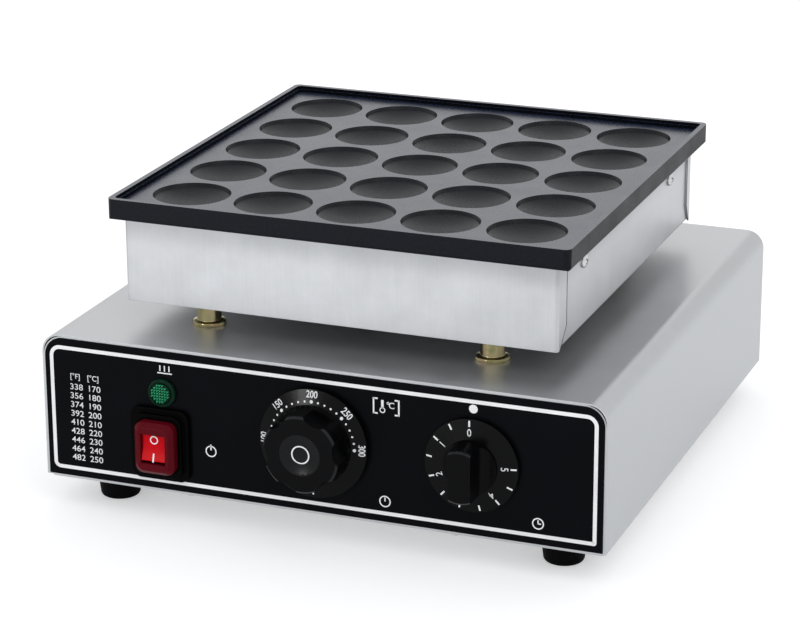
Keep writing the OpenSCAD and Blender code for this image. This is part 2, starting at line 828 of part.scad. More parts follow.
// Hollow threaded tubes that clamp the box to the base and carry the leads
module standoff_tubes() {
    grip = sheet + tube_nut_t + tube_past;
    color(zinc) at_corners(standoff_x, standoff_y) translate([0, 0, z_top - grip]) difference() {
        cylinder(h = standoff_h + 2 * grip, d = tube_d);
        translate([0, 0, -cut]) cylinder(h = standoff_h + 2 * grip + 2 * cut, d = tube_bore);
    }
}

// Nuts on both ends of the threaded tubes
module standoff_nuts() {
    color(zinc) at_corners(standoff_x, standoff_y)
        for (z = [z_top - sheet - tube_nut_t, z_box + sheet])
            translate([0, 0, z]) hex_nut(tube_nut_af, tube_d + 2 * hole_slip, tube_nut_t);
}

// Floor and sides of the heater box, folded from one sheet
module heater_tray() {
    color(steel) difference() {
        translate([0, y_cooker + tray_d / 2, z_skirt]) rotate([90, 0, 0]) mirror([0, 1, 0])
            linear_extrude(tray_d) difference() {
                arch(tray_w, box_h, box_bend);
                translate([0, -cut]) arch(tray_w - 2 * sheet, box_h - sheet + cut, box_bend - sheet);
            }
        at_corners(standoff_x, standoff_y) translate([0, 0, z_box - cut])
            cylinder(h = sheet + 2 * cut, r = tube_d / 2 + hole_slip);
        plate_screw_places() cylinder(h = 2 * (sheet + cut), r = screw_d / 2 + hole_slip, center = true);
    }
}

// Repeats a shape at each side screw, its +Z out of the box
module plate_screw_places() {
    for (sx = [-1, 1])
        for (sy = [-1, 1])
            translate([sx * tray_w / 2, y_cooker + sy * lug_y, lug_z]) rotate([0, sx * 90, 0]) children();
}

// Plan of the sheets that wrap round the front and the rear of the box
module wrap_plan() {
    difference() {
        rounded_rect(box_w, box_d, box_bend);
        square([tray_w, tray_d], center = true);
    }
}

// Front wall with flanges that wrap onto the sides and end in a slant
module wrap_sheet(flange) {
    edge = -box_d / 2;
    translate([0, y_cooker, 0]) difference() {
        translate([0, 0, z_box]) linear_extrude(box_h) intersection() {
            wrap_plan();
            translate([-box_w, edge - cut]) square([2 * box_w, flange + cut]);
        }
        translate([-box_w, 0, 0]) rotate([90, 0, 90]) linear_extrude(2 * box_w) polygon([
            [edge + flange_tip, z_box - cut], [edge + flange_tip, z_box],
            [edge + flange, z_box + flange_slant], [edge + flange + cut, z_box + flange_slant],
            [edge + flange + cut, z_box - cut]
        ]);
    }
}

// Front sheet of the heater box
module heater_front() {
    color(steel) wrap_sheet(front_flange);
}

// Rear sheet of the heater box
module heater_back() {
    color(steel) translate([0, 2 * y_cooker, 0]) mirror([0, 1, 0]) wrap_sheet(rear_flange);
}

// Ceramic fibre mat on the floor of the box, cut out round the tube nuts
module insulation_blanket() {
    color(ceramic) translate([0, 0, z_box + sheet]) linear_extrude(blanket_t) difference() {
        translate([0, y_cooker]) square([tray_w - 2 * sheet - 2 * blanket_gap, tray_d - 2 * blanket_gap],
            center = true);
        at_corners(standoff_x, standoff_y) circle(tube_nut_af / cos(30) / 2 + blanket_gap);
    }
}

// Repeats a shape at the middle of every cup
module cup_places() {
    for (i = [0:cups - 1])
        for (j = [0:cups - 1])
            translate([(i - (cups - 1) / 2) * cup_pitch, y_cooker + (j - (cups - 1) / 2) * cup_pitch, z_face])
                children();
}

// Cutter for a cup: a short steep wall over a shallow dished floor
module cup_cutter() {
    dish_h = cup_depth - cup_wall;
    dish_sphere = (pow(cup_foot_d / 2, 2) + pow(dish_h, 2)) / (2 * dish_h);
    slope = (cup_d - cup_foot_d) / 2 / cup_wall;
    intersection() {
        translate([0, 0, -cup_depth - cut]) cylinder(
            h = cup_depth + 2 * cut,
            r1 = cup_d / 2 - slope * (cup_depth + cut),
            r2 = cup_d / 2 + slope * cut);
        translate([0, 0, dish_sphere - cup_depth]) sphere(dish_sphere, $fn = 96);
    }
}

// Cast plate: stepped rim, grid of cups, centring pad, screw lugs and blind stud holes
module baking_plate() {
    well_w = plate_w - 2 * rim_w;
    face_w = well_w - 2 * ledge_w;
    color(coated) difference() {
        union() {
            translate([0, y_cooker, z_skirt])
                pillow_slab(plate_w, plate_t + rim_h, plate_corner, plate_edge);
            translate([0, y_cooker, z_pad]) linear_extrude(pad_h + plate_edge)
                rounded_rect(pad_w, pad_d, well_corner);
            translate([0, y_cooker, z_skirt - lug_h]) linear_extrude(lug_h + plate_edge)
                at_corners(lug_x, lug_y) square([lug_t, lug_w], center = true);
        }
        translate([0, y_cooker, z_face + ledge_h]) linear_extrude(rim_h)
            rounded_rect(well_w, well_w, well_corner);
        translate([0, y_cooker, z_face]) linear_extrude(rim_h)
            rounded_rect(face_w, face_w, well_corner);
        cup_places() cup_cutter();
        plate_screw_places() translate([0, 0, -lug_t - sheet - cut])
            cylinder(h = lug_t + sheet + cut, r = screw_d / 2 + hole_slip);
        stud_places() translate([0, 0, z_pad - cut])
            cylinder(h = stud_seat + cut, r = stud_d / 2 + hole_slip);
    }
}

// Screws through the sides of the box into the plate's lugs
module plate_screws() {
    color(steel) plate_screw_places() pan_screw(sheet + lug_t);
}

// Straight piece of the element along x
module element_run(from, to, y, d = element_d) {
    translate([from, y, 0]) rotate([0, 90, 0]) cylinder(h = to - from, d = d);
}

// Half ring that joins two neighbouring runs of the element
module element_turn(side, y) {
    translate([side * element_half, y, 0]) rotate([0, 0, side > 0 ? -90 : 90]) rotate_extrude(angle = 180)
        translate([element_pitch / 2, 0]) circle(d = element_d);
}

// Tubular element, bent to four runs, with terminal pins on its two cold ends
module heating_element() {
    left = -element_half - cold_end;
    color(copper) translate([0, y_cooker, z_element]) {
        for (i = [0:3])
            element_run(i == 0 || i == 3 ? left : -element_half, element_half, run_y[i]);
        for (i = [0, 2])
            element_turn(1, run_y[i] + element_pitch / 2);
        element_turn(-1, 0);
        for (i = [0, 3])
            element_run(left - pin_l, left + cut, run_y[i], pin_d);
    }
}

// Repeats a shape at each clamp stud
module stud_places() {
    for (i = [-1:1])
        for (s = [-1, 1])
            translate([i * clamp_pitch, y_cooker + s * element_pitch, 0]) children();
}

// Flat bars that press the element and the thermostat bulb against the plate
module element_clamps() {
    color(steel) difference() {
        for (i = [-1:1])
            translate([i * clamp_pitch, y_cooker, z_clamp - clamp_t / 2])
                cube([clamp_w, clamp_l, clamp_t], center = true);
        stud_places() translate([0, 0, z_clamp - clamp_t - cut])
            cylinder(h = clamp_t + 2 * cut, r = stud_d / 2 + hole_slip);
    }
}

// Studs screwed into the plate
module clamp_studs() {
    low = z_clamp - clamp_t - stud_nut_t - screw_past;
    color(steel) stud_places() translate([0, 0, low]) cylinder(h = z_pad + stud_seat - low, d = stud_d);
}

// Nuts that draw the clamp bars up
module clamp_nuts() {
    color(steel) stud_places() translate([0, 0, z_clamp - clamp_t - stud_nut_t])
        hex_nut(stud_nut_af, stud_d + 2 * hole_slip, stud_nut_t);
}

// Sensor bulb of the thermostat, held under the plate by the middle clamp bar
module thermostat_bulb() {
    color(copper) translate([-bulb_l / 2, y_cooker, z_element]) rotate([0, 90, 0])
        cylinder(h = bulb_l, d = element_d);
}

// Capillary from the bulb, down the front right tube, to the thermostat
module capillary_tube() {
    top = z_box + sheet + tube_nut_t + tube_past;
    low = z_top - sheet - tube_nut_t - tube_past;
    back = y_front + sheet + therm_body_d;
    end_z = therm_z + therm_body_h / 2 - capillary_in;
    clamp_edge = clamp_pitch + clamp_w / 2;
    color(copper) wire([
        [bulb_l / 2, y_cooker, z_element], [clamp_edge + 2, y_cooker, z_element],
        [clamp_edge + 8, y_cooker - 1, z_element - 3], [clamp_edge + 13, y_cooker - 10, z_clamp - 9],
        [standoff_x - 12, -60, z_clamp - 15], [standoff_x - 4, -standoff_y + 18, z_clamp - 16],
        [standoff_x, -standoff_y + 1, top + 9], [standoff_x, -standoff_y, top],
        [standoff_x, -standoff_y, z_box], [standoff_x, -standoff_y, low],
        [standoff_x - 3, -standoff_y + 4, low - 8], [standoff_x - 30, -standoff_y + 14, low - 12],
        [therm_x + 20, back + 16, end_z + 3], [therm_x + 4, back + 12, end_z + 1],
        [therm_x, back + 6, end_z], [therm_x, back, end_z]
    ], capillary_d);
}

// Body of a control behind the front panel, with the bush that carries its spindle
module control_body(w, h, d, corner) {
    difference() {
        union() {
            translate([0, 0, -control_depth - d]) linear_extrude(d) rounded_rect(w, h, corner);
            translate([0, 0, -control_depth - cut]) cylinder(h = control_depth + cut, d = bush_d);
        }
        translate([0, 0, -spindle_in - contact_gap])
            cylinder(h = spindle_in + contact_gap + cut, r = spindle_d / 2 + spindle_run);
        for (s = [-1, 1])
            translate([s * control_screw_pitch / 2, 0, -control_depth - 2 * screw_d])
                cylinder(h = 2 * screw_d + control_depth, r = screw_d / 2 + hole_slip);
    }
}

// Screws that hold a control to the front panel, under the knob
module control_screws() {
    low_head = knob_gap + fascia_t - control_screw_gap;
    shank = sheet + control_screw_in;
    for (s = [-1, 1])
        translate([s * control_screw_pitch / 2, 0, -fascia_t]) {
            translate([0, 0, -shank]) cylinder(h = shank + low_head / 2, d = screw_d);
            cylinder(h = low_head, d = head_d);
        }
}

// Spindle with a flat on the length that takes the knob
module control_spindle() {
    difference() {
        translate([0, 0, -spindle_in]) cylinder(h = spindle_in + spindle_out, d = spindle_d);
        translate([-spindle_d, spindle_d / 2 - spindle_flat, knob_gap])
            cube([2 * spindle_d, spindle_d, spindle_out]);
    }
}

// Hole in a knob for the spindle and its flat
module spindle_socket() {
    difference() {
        translate([0, 0, -cut]) cylinder(h = spindle_out + cut + contact_gap, r = spindle_d / 2 + knob_fit);
        translate([-spindle_d, spindle_d / 2 - spindle_flat + knob_fit, knob_gap])
            cube([2 * spindle_d, spindle_d, spindle_out + cut]);
    }
}

// Capillary thermostat
module thermostat_body() {
    color(ceramic) on_front(therm_x, therm_z)
        control_body(therm_body_w, therm_body_h, therm_body_d, therm_body_corner);
}

// Screws of the thermostat
module thermostat_screws() {
    color(steel) on_front(therm_x, therm_z) control_screws();
}

// Spindle of the thermostat
module thermostat_spindle() {
    color(steel) on_front(therm_x, therm_z) control_spindle();
}

// Thermostat knob: numbered skirt, round collar and a lobed grip with a dished front
module thermostat_knob() {
    edge_z = knob_gap + therm_skirt_t;
    face_z = edge_z + therm_skirt_rise;
    collar_z = face_z + collar_h;
    hollow_r = therm_grip_r - scallop - knob_wall;
    hub_r = spindle_d / 2 + knob_wall;
    bowl_r = (dish_r * dish_r + dish_depth * dish_depth) / (2 * dish_depth);
    bowl_steps = 8;
    bowl = [for (i = [bowl_steps:-1:0])
        let (a = asin(dish_r / bowl_r) * i / bowl_steps)
        [bowl_r * sin(a), therm_knob_h - dish_depth + bowl_r * (1 - cos(a))]];
    color(black) on_front(therm_x, therm_z) difference() {
        rotate_extrude() polygon(concat([
            [0, knob_gap], [therm_skirt_r, knob_gap], [therm_skirt_r, edge_z],
            [therm_collar_r, face_z], [therm_grip_r, collar_z],
            [therm_grip_r, therm_knob_h - knob_bevel], [therm_grip_r - knob_bevel, therm_knob_h]
        ], bowl));
        for (i = [0:lobes - 1])
            rotate([0, 0, (i + 0.5) * 360 / lobes + lobe_turn])
                translate([0, therm_grip_r - scallop + scallop_r, collar_z + grip_foot])
                    cylinder(h = therm_knob_h, r = scallop_r);
        rotate_extrude() polygon([
            [hub_r, -cut], [hollow_r, -cut],
            [hollow_r, therm_knob_h - knob_roof], [hub_r, therm_knob_h - knob_roof]
        ]);
        spindle_socket();
    }
}

// Clockwork timer
module timer_body() {
    color(steel) on_front(timer_x, timer_z)
        control_body(timer_body_w, timer_body_w, timer_body_d, timer_body_corner);
}

// Screws of the timer
module timer_screws() {
    color(steel) on_front(timer_x, timer_z) control_screws();
}

// Spindle of the timer
module timer_spindle() {
    color(steel) on_front(timer_x, timer_z) control_spindle();
}

// Timer knob: numbered skirt and a round boss cut back to a grip bar
module timer_knob() {
    edge_z = knob_gap + timer_skirt_t;
    face_z = edge_z + timer_skirt_rise;
    floor_z = face_z + timer_root_up;
    color(black) on_front(timer_x, timer_z) difference() {
        rotate_extrude() polygon([
            [0, knob_gap], [timer_skirt_r, knob_gap], [timer_skirt_r, edge_z],
            [timer_boss_r, face_z], [timer_boss_r, timer_knob_h - knob_bevel],
            [timer_boss_r - knob_bevel, timer_knob_h], [0, timer_knob_h]
        ]);
        for (s = [-1, 1])
            translate([s * (timer_bar_t / 2 + timer_root_r), 0, floor_z + timer_root_r]) {
                rotate([90, 0, 0]) cylinder(h = 4 * timer_boss_r, r = timer_root_r, center = true);
                translate([-timer_root_r, -2 * timer_boss_r, 0])
                    cube([2 * timer_root_r, 4 * timer_boss_r, timer_knob_h]);
                translate([s > 0 ? 0 : -timer_boss_r, -2 * timer_boss_r, -timer_root_r])
                    cube([timer_boss_r, 4 * timer_boss_r, timer_knob_h]);
            }
        spindle_socket();
    }
}

// Bezel of the switch: a flange on the fascia with a raised frame round the cover
module switch_bezel() {
    color(black) on_front(switch_x, switch_z) difference() {
        union() {
            linear_extrude(bezel_t) rounded_rect(bezel_w, bezel_h, bezel_corner);
            linear_extrude(frame_t) rounded_rect(frame_w, frame_h, bezel_corner);
        }
        translate([0, 0, -cut]) linear_extrude(frame_t + 2 * cut)
            rounded_rect(boot_w + 2 * switch_gap, boot_h + 2 * switch_gap, boot_corner);
    }
}

// Switch body: block behind the panel and a nose that carries the rocker
module switch_body() {
    pocket = pivot_up - rocker_back * cos(rocker_tilt) - rocker_r * sin(rocker_tilt) - rocker_gap;
    color(black) on_front(switch_x, switch_z) difference() {
        union() {
            translate([0, 0, -switch_d]) linear_extrude(switch_d)
                square([switch_w, switch_h], center = true);
            linear_extrude(nose_t) square([nose_w, nose_h], center = true);
        }
        translate([0, 0, pocket]) linear_extrude(nose_t) square([window_w, window_h], center = true);
        translate([0, 0, pivot_up]) rotate([0, 90, 0]) cylinder(
            h = window_w + 2 * (pivot_l + contact_gap),
            r = pivot_d / 2 + spindle_run,
            center = true);
    }
}

// Soft translucent cover with a window over the rocker
module switch_boot() {
    shoulder = boot_t - boot_slope;
    front_w = boot_w - 2 * boot_slope;
    front_h = boot_h - 2 * boot_slope;
    front_corner = boot_corner - boot_slope / 2;
    color(red) on_front(switch_x, switch_z) difference() {
        hull() {
            linear_extrude(shoulder) rounded_rect(boot_w, boot_h, boot_corner, $fn = 32);
            linear_extrude(boot_t) rounded_rect(front_w, front_h, front_corner, $fn = 32);
        }
        translate([0, 0, -cut]) linear_extrude(nose_t + switch_gap + cut)
            square([boot_in_w, boot_in_h], center = true);
        linear_extrude(boot_t + cut) square([window_w, window_h], center = true);
    }
}

// Rocker with a shallow valley face and two pivot pins, shown with its upper half pressed
module switch_rocker() {
    w = window_w - 2 * rocker_gap;
    color(red) on_front(switch_x, switch_z) translate([0, 0, pivot_up]) rotate([-rocker_tilt, 0, 0]) {
        rotate([90, 0, 90]) linear_extrude(w, center = true) intersection() {
            circle(rocker_r);
            polygon([
                [-rocker_r, -rocker_back], [rocker_r, -rocker_back],
                [rocker_r, rocker_face + rocker_r * tan(rocker_tilt)], [0, rocker_face],
                [-rocker_r, rocker_face + rocker_r * tan(rocker_tilt)]
            ]);
        }
        rotate([0, 90, 0]) cylinder(h = w + 2 * (rocker_gap + pivot_l), d = pivot_d, center = true);
    }
}

// Flat terminals on the back of the switch
module switch_terminals() {
    color(zinc) on_front(switch_x, switch_z)
        for (s = [-1, 1])
            translate([s * blade_w, 0, -switch_d - blade_l / 2])
                cube([blade_w, blade_t, blade_l], center = true);
}

// Green lens of the pilot lamp: a bevelled rim, a groove and the raised window
module lamp_lens() {
    groove_z = lamp_rim_h - lamp_groove;
    color(green) on_front(lamp_x, lamp_z) rotate_extrude() polygon([
        [lens_r - lens_wall, 0], [lamp_rim_r, 0], [lamp_rim_r, lamp_rim_h - lens_bevel],
        [lamp_rim_r - lens_bevel, lamp_rim_h], [lens_r + lamp_groove, lamp_rim_h],
        [lens_r + lamp_groove, groove_z], [lens_r, groove_z],
        [lens_r, lens_h - lens_bevel], [lens_r - lens_bevel, lens_h], [0, lens_h],
        [0, lens_h - lens_wall], [lens_r - lens_wall, lens_h - lens_wall]
    ]);
}

// Barrel of the lamp through the panel, with its bulb inside the lens
module lamp_body() {
    inset = lens_wall + bulb_gap;
    color(black) on_front(lamp_x, lamp_z) {
        translate([0, 0, -barrel_l]) cylinder(h = barrel_l, d = barrel_d);
        translate([0, 0, -cut]) cylinder(h = lens_h - inset + cut, r = lens_r - inset);
    }
}

// Nut that holds the lamp from behind
module lamp_nut() {
    color(steel) on_front(lamp_x, lamp_z) translate([0, 0, -control_depth - lamp_nut_t])
        hex_nut(lamp_nut_af, barrel_d + 2 * hole_slip, lamp_nut_t);
}

// Ceramic terminal block
module terminal_block() {
    color(ceramic) difference() {
        translate([block_x - block_l / 2, block_y - block_d / 2, z_shell]) cube([block_l, block_d, block_h]);
        for (i = [-1:1])
            translate([block_x + i * block_l / 3, block_y, z_shell + block_h - block_screw_l])
                cylinder(h = block_screw_l + cut, r = screw_d / 2 + hole_slip);
    }
}

// Clamping screws of the terminal block
module terminal_screws() {
    color(zinc) for (i = [-1:1])
        translate([block_x + i * block_l / 3, block_y, z_shell + block_h - block_screw_l])
            cylinder(h = block_screw_l, d = screw_d);
}

// Earth stud welded to the bottom plate, with its collar
module earth_stud() {
    color(zinc) translate([block_x - block_l, block_y, z_shell]) {
        cylinder(h = earth_h, d = screw_d);
        cylinder(h = earth_collar_h, d = 2 * screw_d);
    }
}

// Leads of the heating element, down the two left tubes
module heater_leads() {
    top = z_box + sheet + tube_nut_t + tube_past;
    low = z_top - sheet - tube_nut_t - tube_past;
    pin_x = -element_half - cold_end - pin_l;
    back = y_front + sheet + therm_body_d;
    block_face = block_y - block_d / 2;
    block_z = z_shell + block_h / 2;
    down = function (s) [
        [pin_x, y_cooker + s * run_y[3], z_element], [pin_x - 3, y_cooker + s * run_y[3], z_element],
        [pin_x - 4, y_cooker + s * (run_y[3] - 1), z_element - 9],
        [pin_x + 3, s * (run_y[3] + 8), z_element - 14],
        [-standoff_x - 9, s * (standoff_y - 18), top + 16], [-standoff_x - 2, s * (standoff_y - 4), top + 13],
        [-standoff_x, s * standoff_y, top + 6], [-standoff_x, s * standoff_y, top],
        [-standoff_x, s * standoff_y, z_box], [-standoff_x, s * standoff_y, low]
    ];
    color([0.9, 0.88, 0.8]) {
        wire(concat(down(-1), [
            [-standoff_x + 2, -standoff_y + 3, low - 12], [-standoff_x + 25, -standoff_y + 10, low - 22],
            [therm_x - 30, back + 16, therm_z + 4], [therm_x - 12, back + 14, therm_z + 1],
            [therm_x - 10, back + 7, therm_z], [therm_x - 10, back, therm_z]
        ]), lead_d);
        wire(concat(down(1), [
            [-standoff_x, standoff_y - 4, low - 20], [-standoff_x + 4, standoff_y - 18, low - 45],
            [block_x - 8, block_face - 18, block_z + 3], [block_x - 6, block_face - 8, block_z],
            [block_x - 6, block_face, block_z]
        ]), lead_d);
    }
}

// Wires between the terminal block, the switch, the timer and the thermostat
module control_wires() {
    blade_y = y_fascia + switch_d + blade_l;
    timer_back = y_front + sheet + timer_body_d;
    therm_back = y_front + sheet + therm_body_d;
    block_face = block_y - block_d / 2;
    block_z = z_shell + block_h / 2;
    color([0.6, 0.12, 0.1]) {
        wire([
            [block_x + 8, block_face, block_z], [block_x + 8, block_face - 10, block_z],
            [block_x, block_face - 40, z_shell + 6], [switch_x - 14, 20, z_shell + 5],
            [switch_x - 16, blade_y + 40, switch_z - 12], [switch_x - blade_w, blade_y + 12, switch_z - 1],
            [switch_x - blade_w, blade_y + 5, switch_z], [switch_x - blade_w, blade_y, switch_z]
        ], lead_d);
        wire([
            [switch_x + blade_w, blade_y, switch_z], [switch_x + blade_w, blade_y + 8, switch_z],
            [switch_x + 30, blade_y + 30, switch_z - 8], [therm_x, therm_back + 34, switch_z - 14],
            [timer_x - 30, timer_back + 26, timer_z - 22], [timer_x - 8, timer_back + 14, timer_z - 9],
            [timer_x - 6, timer_back + 7, timer_z - 8], [timer_x - 6, timer_back, timer_z - 8]
        ], lead_d);
        wire([
            [timer_x + 6, timer_back, timer_z + 6], [timer_x + 6, timer_back + 8, timer_z + 6],
            [timer_x - 20, timer_back + 22, timer_z + 8], [therm_x + 30, therm_back + 20, therm_z - 2],
            [therm_x + 13, therm_back + 12, therm_z - 3], [therm_x + 12, therm_back + 6, therm_z - 4],
            [therm_x + 12, therm_back, therm_z - 4]
        ], lead_d);
    }
}

place() base_shell();
place() front_panel();
place() front_fascia();
place() rear_panel();
place() bottom_plate();
place() bottom_screws();
place() rubber_feet();
place() foot_screws();
place() foot_nuts();
place() cord_gland();
place() gland_nut();
place() standoffs();
place() standoff_tubes();
place() standoff_nuts();
place() heater_tray();
place() heater_front();
place() heater_back();
place() insulation_blanket();
place() baking_plate();
place() plate_screws();
place() heating_element();
place() element_clamps();
place() clamp_studs();
place() clamp_nuts();
place() thermostat_bulb();
place() capillary_tube();
place() thermostat_body();
place() thermostat_screws();
place() thermostat_spindle();
place() thermostat_knob();
place() timer_body();
place() timer_screws();
place() timer_spindle();
place() timer_knob();
place() switch_bezel();
place() switch_body();
place() switch_boot();
place() switch_rocker();
place() switch_terminals();
place() lamp_lens();
place() lamp_body();
place() lamp_nut();
place() terminal_block();
place() terminal_screws();
place() earth_stud();
place() heater_leads();
place() control_wires();
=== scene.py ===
import json
import math

import bpy
from mathutils import Matrix, Vector

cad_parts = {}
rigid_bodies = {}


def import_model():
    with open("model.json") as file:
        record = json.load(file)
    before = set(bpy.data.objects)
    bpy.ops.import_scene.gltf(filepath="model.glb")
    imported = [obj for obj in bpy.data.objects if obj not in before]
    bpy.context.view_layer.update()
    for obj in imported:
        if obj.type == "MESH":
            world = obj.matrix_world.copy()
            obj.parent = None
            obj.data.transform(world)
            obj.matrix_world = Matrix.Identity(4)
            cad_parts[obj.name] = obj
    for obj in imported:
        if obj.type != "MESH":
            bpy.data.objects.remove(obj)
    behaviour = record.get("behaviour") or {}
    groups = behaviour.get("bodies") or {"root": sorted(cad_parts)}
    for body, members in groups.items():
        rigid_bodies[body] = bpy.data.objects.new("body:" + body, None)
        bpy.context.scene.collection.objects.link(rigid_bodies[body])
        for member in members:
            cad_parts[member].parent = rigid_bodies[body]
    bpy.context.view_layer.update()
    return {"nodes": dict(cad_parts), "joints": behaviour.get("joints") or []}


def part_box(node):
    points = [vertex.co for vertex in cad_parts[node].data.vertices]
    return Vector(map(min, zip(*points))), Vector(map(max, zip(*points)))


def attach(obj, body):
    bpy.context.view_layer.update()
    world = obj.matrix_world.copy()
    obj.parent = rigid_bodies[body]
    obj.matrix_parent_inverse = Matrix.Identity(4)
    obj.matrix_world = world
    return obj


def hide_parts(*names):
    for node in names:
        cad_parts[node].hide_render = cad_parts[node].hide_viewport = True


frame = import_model()


# Base shell
# A cover folded from one sheet of stainless steel, brushed along its width, with lips
# under its sides that the bottom plate screws to.
MM = 0.001
SHARP = math.radians(32)
COPLANAR = math.radians(0.5)
MERGE = 0.005 * MM
nodes = frame["nodes"]


def only(obj):
    """Deselects everything else and makes obj the active object."""
    bpy.ops.object.select_all(action="DESELECT")
    obj.select_set(True)
    bpy.context.view_layer.objects.active = obj


def apply_all(obj):
    """Applies the modifiers of obj in order."""
    only(obj)
    for modifier in list(obj.modifiers):
        bpy.ops.object.modifier_apply(modifier=modifier.name)


def flattened(obj):
    """Smooth shading that leaves the large faces flat and turns only the rounded edges."""
    only(obj)
    bpy.ops.object.shade_smooth_by_angle(angle=SHARP)
    flat = obj.modifiers.new("flat_faces", "WEIGHTED_NORMAL")
    flat.keep_sharp = True
    apply_all(obj)


def fix(obj, body, slot, *replaced):
    """Fixes a finished piece to its body, instead of the CAD nodes named. The slot is not used."""
    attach(obj, body)
    if replaced:
        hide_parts(*replaced)


def softened(node, name, edge, steps=2):
    """A copy of a CAD node as one clean mesh, with its sharp edges rounded by edge."""
    piece = bpy.data.objects.new(name, nodes[node].data.copy())
    bpy.context.scene.collection.objects.link(piece)
    only(piece)
    bpy.ops.mesh.customdata_custom_splitnormals_clear()
    bpy.ops.object.mode_set(mode="EDIT")
    bpy.ops.mesh.select_all(action="SELECT")
    bpy.ops.mesh.remove_doubles(threshold=MERGE)
    bpy.ops.mesh.dissolve_limited(angle_limit=COPLANAR)
    bpy.ops.object.mode_set(mode="OBJECT")
    bevel = piece.modifiers.new("rounded_edges", "BEVEL")
    bevel.width = edge
    bevel.segments = steps
    bevel.limit_method = "ANGLE"
    bevel.angle_limit = SHARP
    bevel.use_clamp_overlap = True
    apply_all(piece)
    flattened(piece)
    return piece


def dress(obj, *materials):
    """Gives an object its materials."""
    obj.data.materials.clear()
    for material in materials:
        obj.data.materials.append(material)


def put(tree, kind, settings=None, **inputs):
    """Adds a shader node. Inputs are given by name, or by number after a _, as a value or as
    another node's socket."""
    made = tree.nodes.new(kind)
    for key, value in (settings or {}).items():
        setattr(made, key, value)
    for key, value in inputs.items():
        socket = made.inputs[int(key[1:]) if key[0] == "_" else key.replace("_", " ")]
        if isinstance(value, bpy.types.NodeSocket):
            tree.links.new(value, socket)
        else:
            socket.default_value = value
    return made


def maths(tree, operation, *values):
    """Result of one math node."""
    inputs = {f"_{index}": value for index, value in enumerate(values)}
    return put(tree, "ShaderNodeMath", {"operation": operation}, **inputs).outputs["Value"]


def times(tree, a, b):
    """Product of two values."""
    return maths(tree, "MULTIPLY", a, b)


def noise(tree, where, scale, detail, roughness):
    """Value of a noise texture. Scale is its frequency per metre."""
    return put(tree, "ShaderNodeTexNoise", None, Vector=where, Scale=scale, Detail=detail,
               Roughness=roughness).outputs["Fac"]


def swung(tree, value, swing):
    """A factor that swings about 1 as a noise value swings about its middle."""
    return maths(tree, "MULTIPLY_ADD", maths(tree, "SUBTRACT", value, 0.5), swing, 1.0)


NOISE_LOW, NOISE_HIGH = 0.3, 0.7


def spread(tree, value, swing):
    """A factor from 1 - swing to 1 + swing over the usual range of a noise value."""
    return put(tree, "ShaderNodeMapRange", None, Value=value, From_Min=NOISE_LOW,
               From_Max=NOISE_HIGH, To_Min=1 - swing, To_Max=1 + swing).outputs["Result"]


def effect(name, inputs):
    """Starts a shader node group that gives a tone, a roughness factor and a height."""
    tree = bpy.data.node_groups.new(name, "ShaderNodeTree")
    for label, kind in inputs:
        tree.interface.new_socket(label, in_out="INPUT", socket_type="NodeSocket" + kind)
    for label in ("Tone", "Roughness", "Height"):
        tree.interface.new_socket(label, in_out="OUTPUT", socket_type="NodeSocketFloat")
    return tree, tree.nodes.new("NodeGroupInput").outputs, tree.nodes.new("NodeGroupOutput").inputs


def principled(name, **sockets):
    """Starts a material with its constant sockets set. Gives its tree, shader and coordinates."""
    material = bpy.data.materials.new(name)
    material.use_nodes = True
    tree = material.node_tree
    shader = tree.nodes["Principled BSDF"]
    for key, value in sockets.items():
        shader.inputs[key.replace("_", " ")].default_value = value
    where = put(tree, "ShaderNodeTexCoord").outputs["Object"]
    return material, tree, shader, where


def shaded(tree, colour, tone):
    """A colour made lighter or darker over the surface by tone."""
    mix = put(tree, "ShaderNodeMix", {"data_type": "RGBA", "blend_type": "MULTIPLY"},
              _0=1.0, _6=colour, _7=tone)
    return mix.outputs[2]


def surfaced(tree, shader, group, colour, tone, roughness, depth):
    """Feeds a shader from an effect: a tone on its colour, its roughness and its bumps."""
    tree.links.new(shaded(tree, colour, tone), shader.inputs["Base Color"])
    tree.links.new(times(tree, group["Roughness"], roughness), shader.inputs["Roughness"])
    bump = put(tree, "ShaderNodeBump", None, Height=group["Height"], Distance=depth, Strength=1.0)
    tree.links.new(bump.outputs["Normal"], shader.inputs["Normal"])


# Brushing: fine streaks along one direction over the cloudy mottle of rolled sheet.
CLOUDS = 48.0
ROUGH_SWING = 0.1
brushing, given, gives = effect("brushing", [("Vector", "Vector"), ("Streaks", "Vector"),
                                             ("Grain", "Float"), ("Mottle", "Float")])
drawn_out = put(brushing, "ShaderNodeMapping", None, Vector=given["Vector"], Scale=given["Streaks"])
streak = noise(brushing, drawn_out.outputs["Vector"], 1.0, detail=4.0, roughness=0.65)
cloud = noise(brushing, given["Vector"], CLOUDS, detail=5.0, roughness=0.62)
brushing.links.new(times(brushing, swung(brushing, streak, given["Grain"]),
                         swung(brushing, cloud, given["Mottle"])), gives["Tone"])
brushing.links.new(times(brushing, spread(brushing, streak, ROUGH_SWING),
                         spread(brushing, cloud, ROUGH_SWING)), gives["Roughness"])
brushing.links.new(streak, gives["Height"])

SHADE_TONE = 0.74


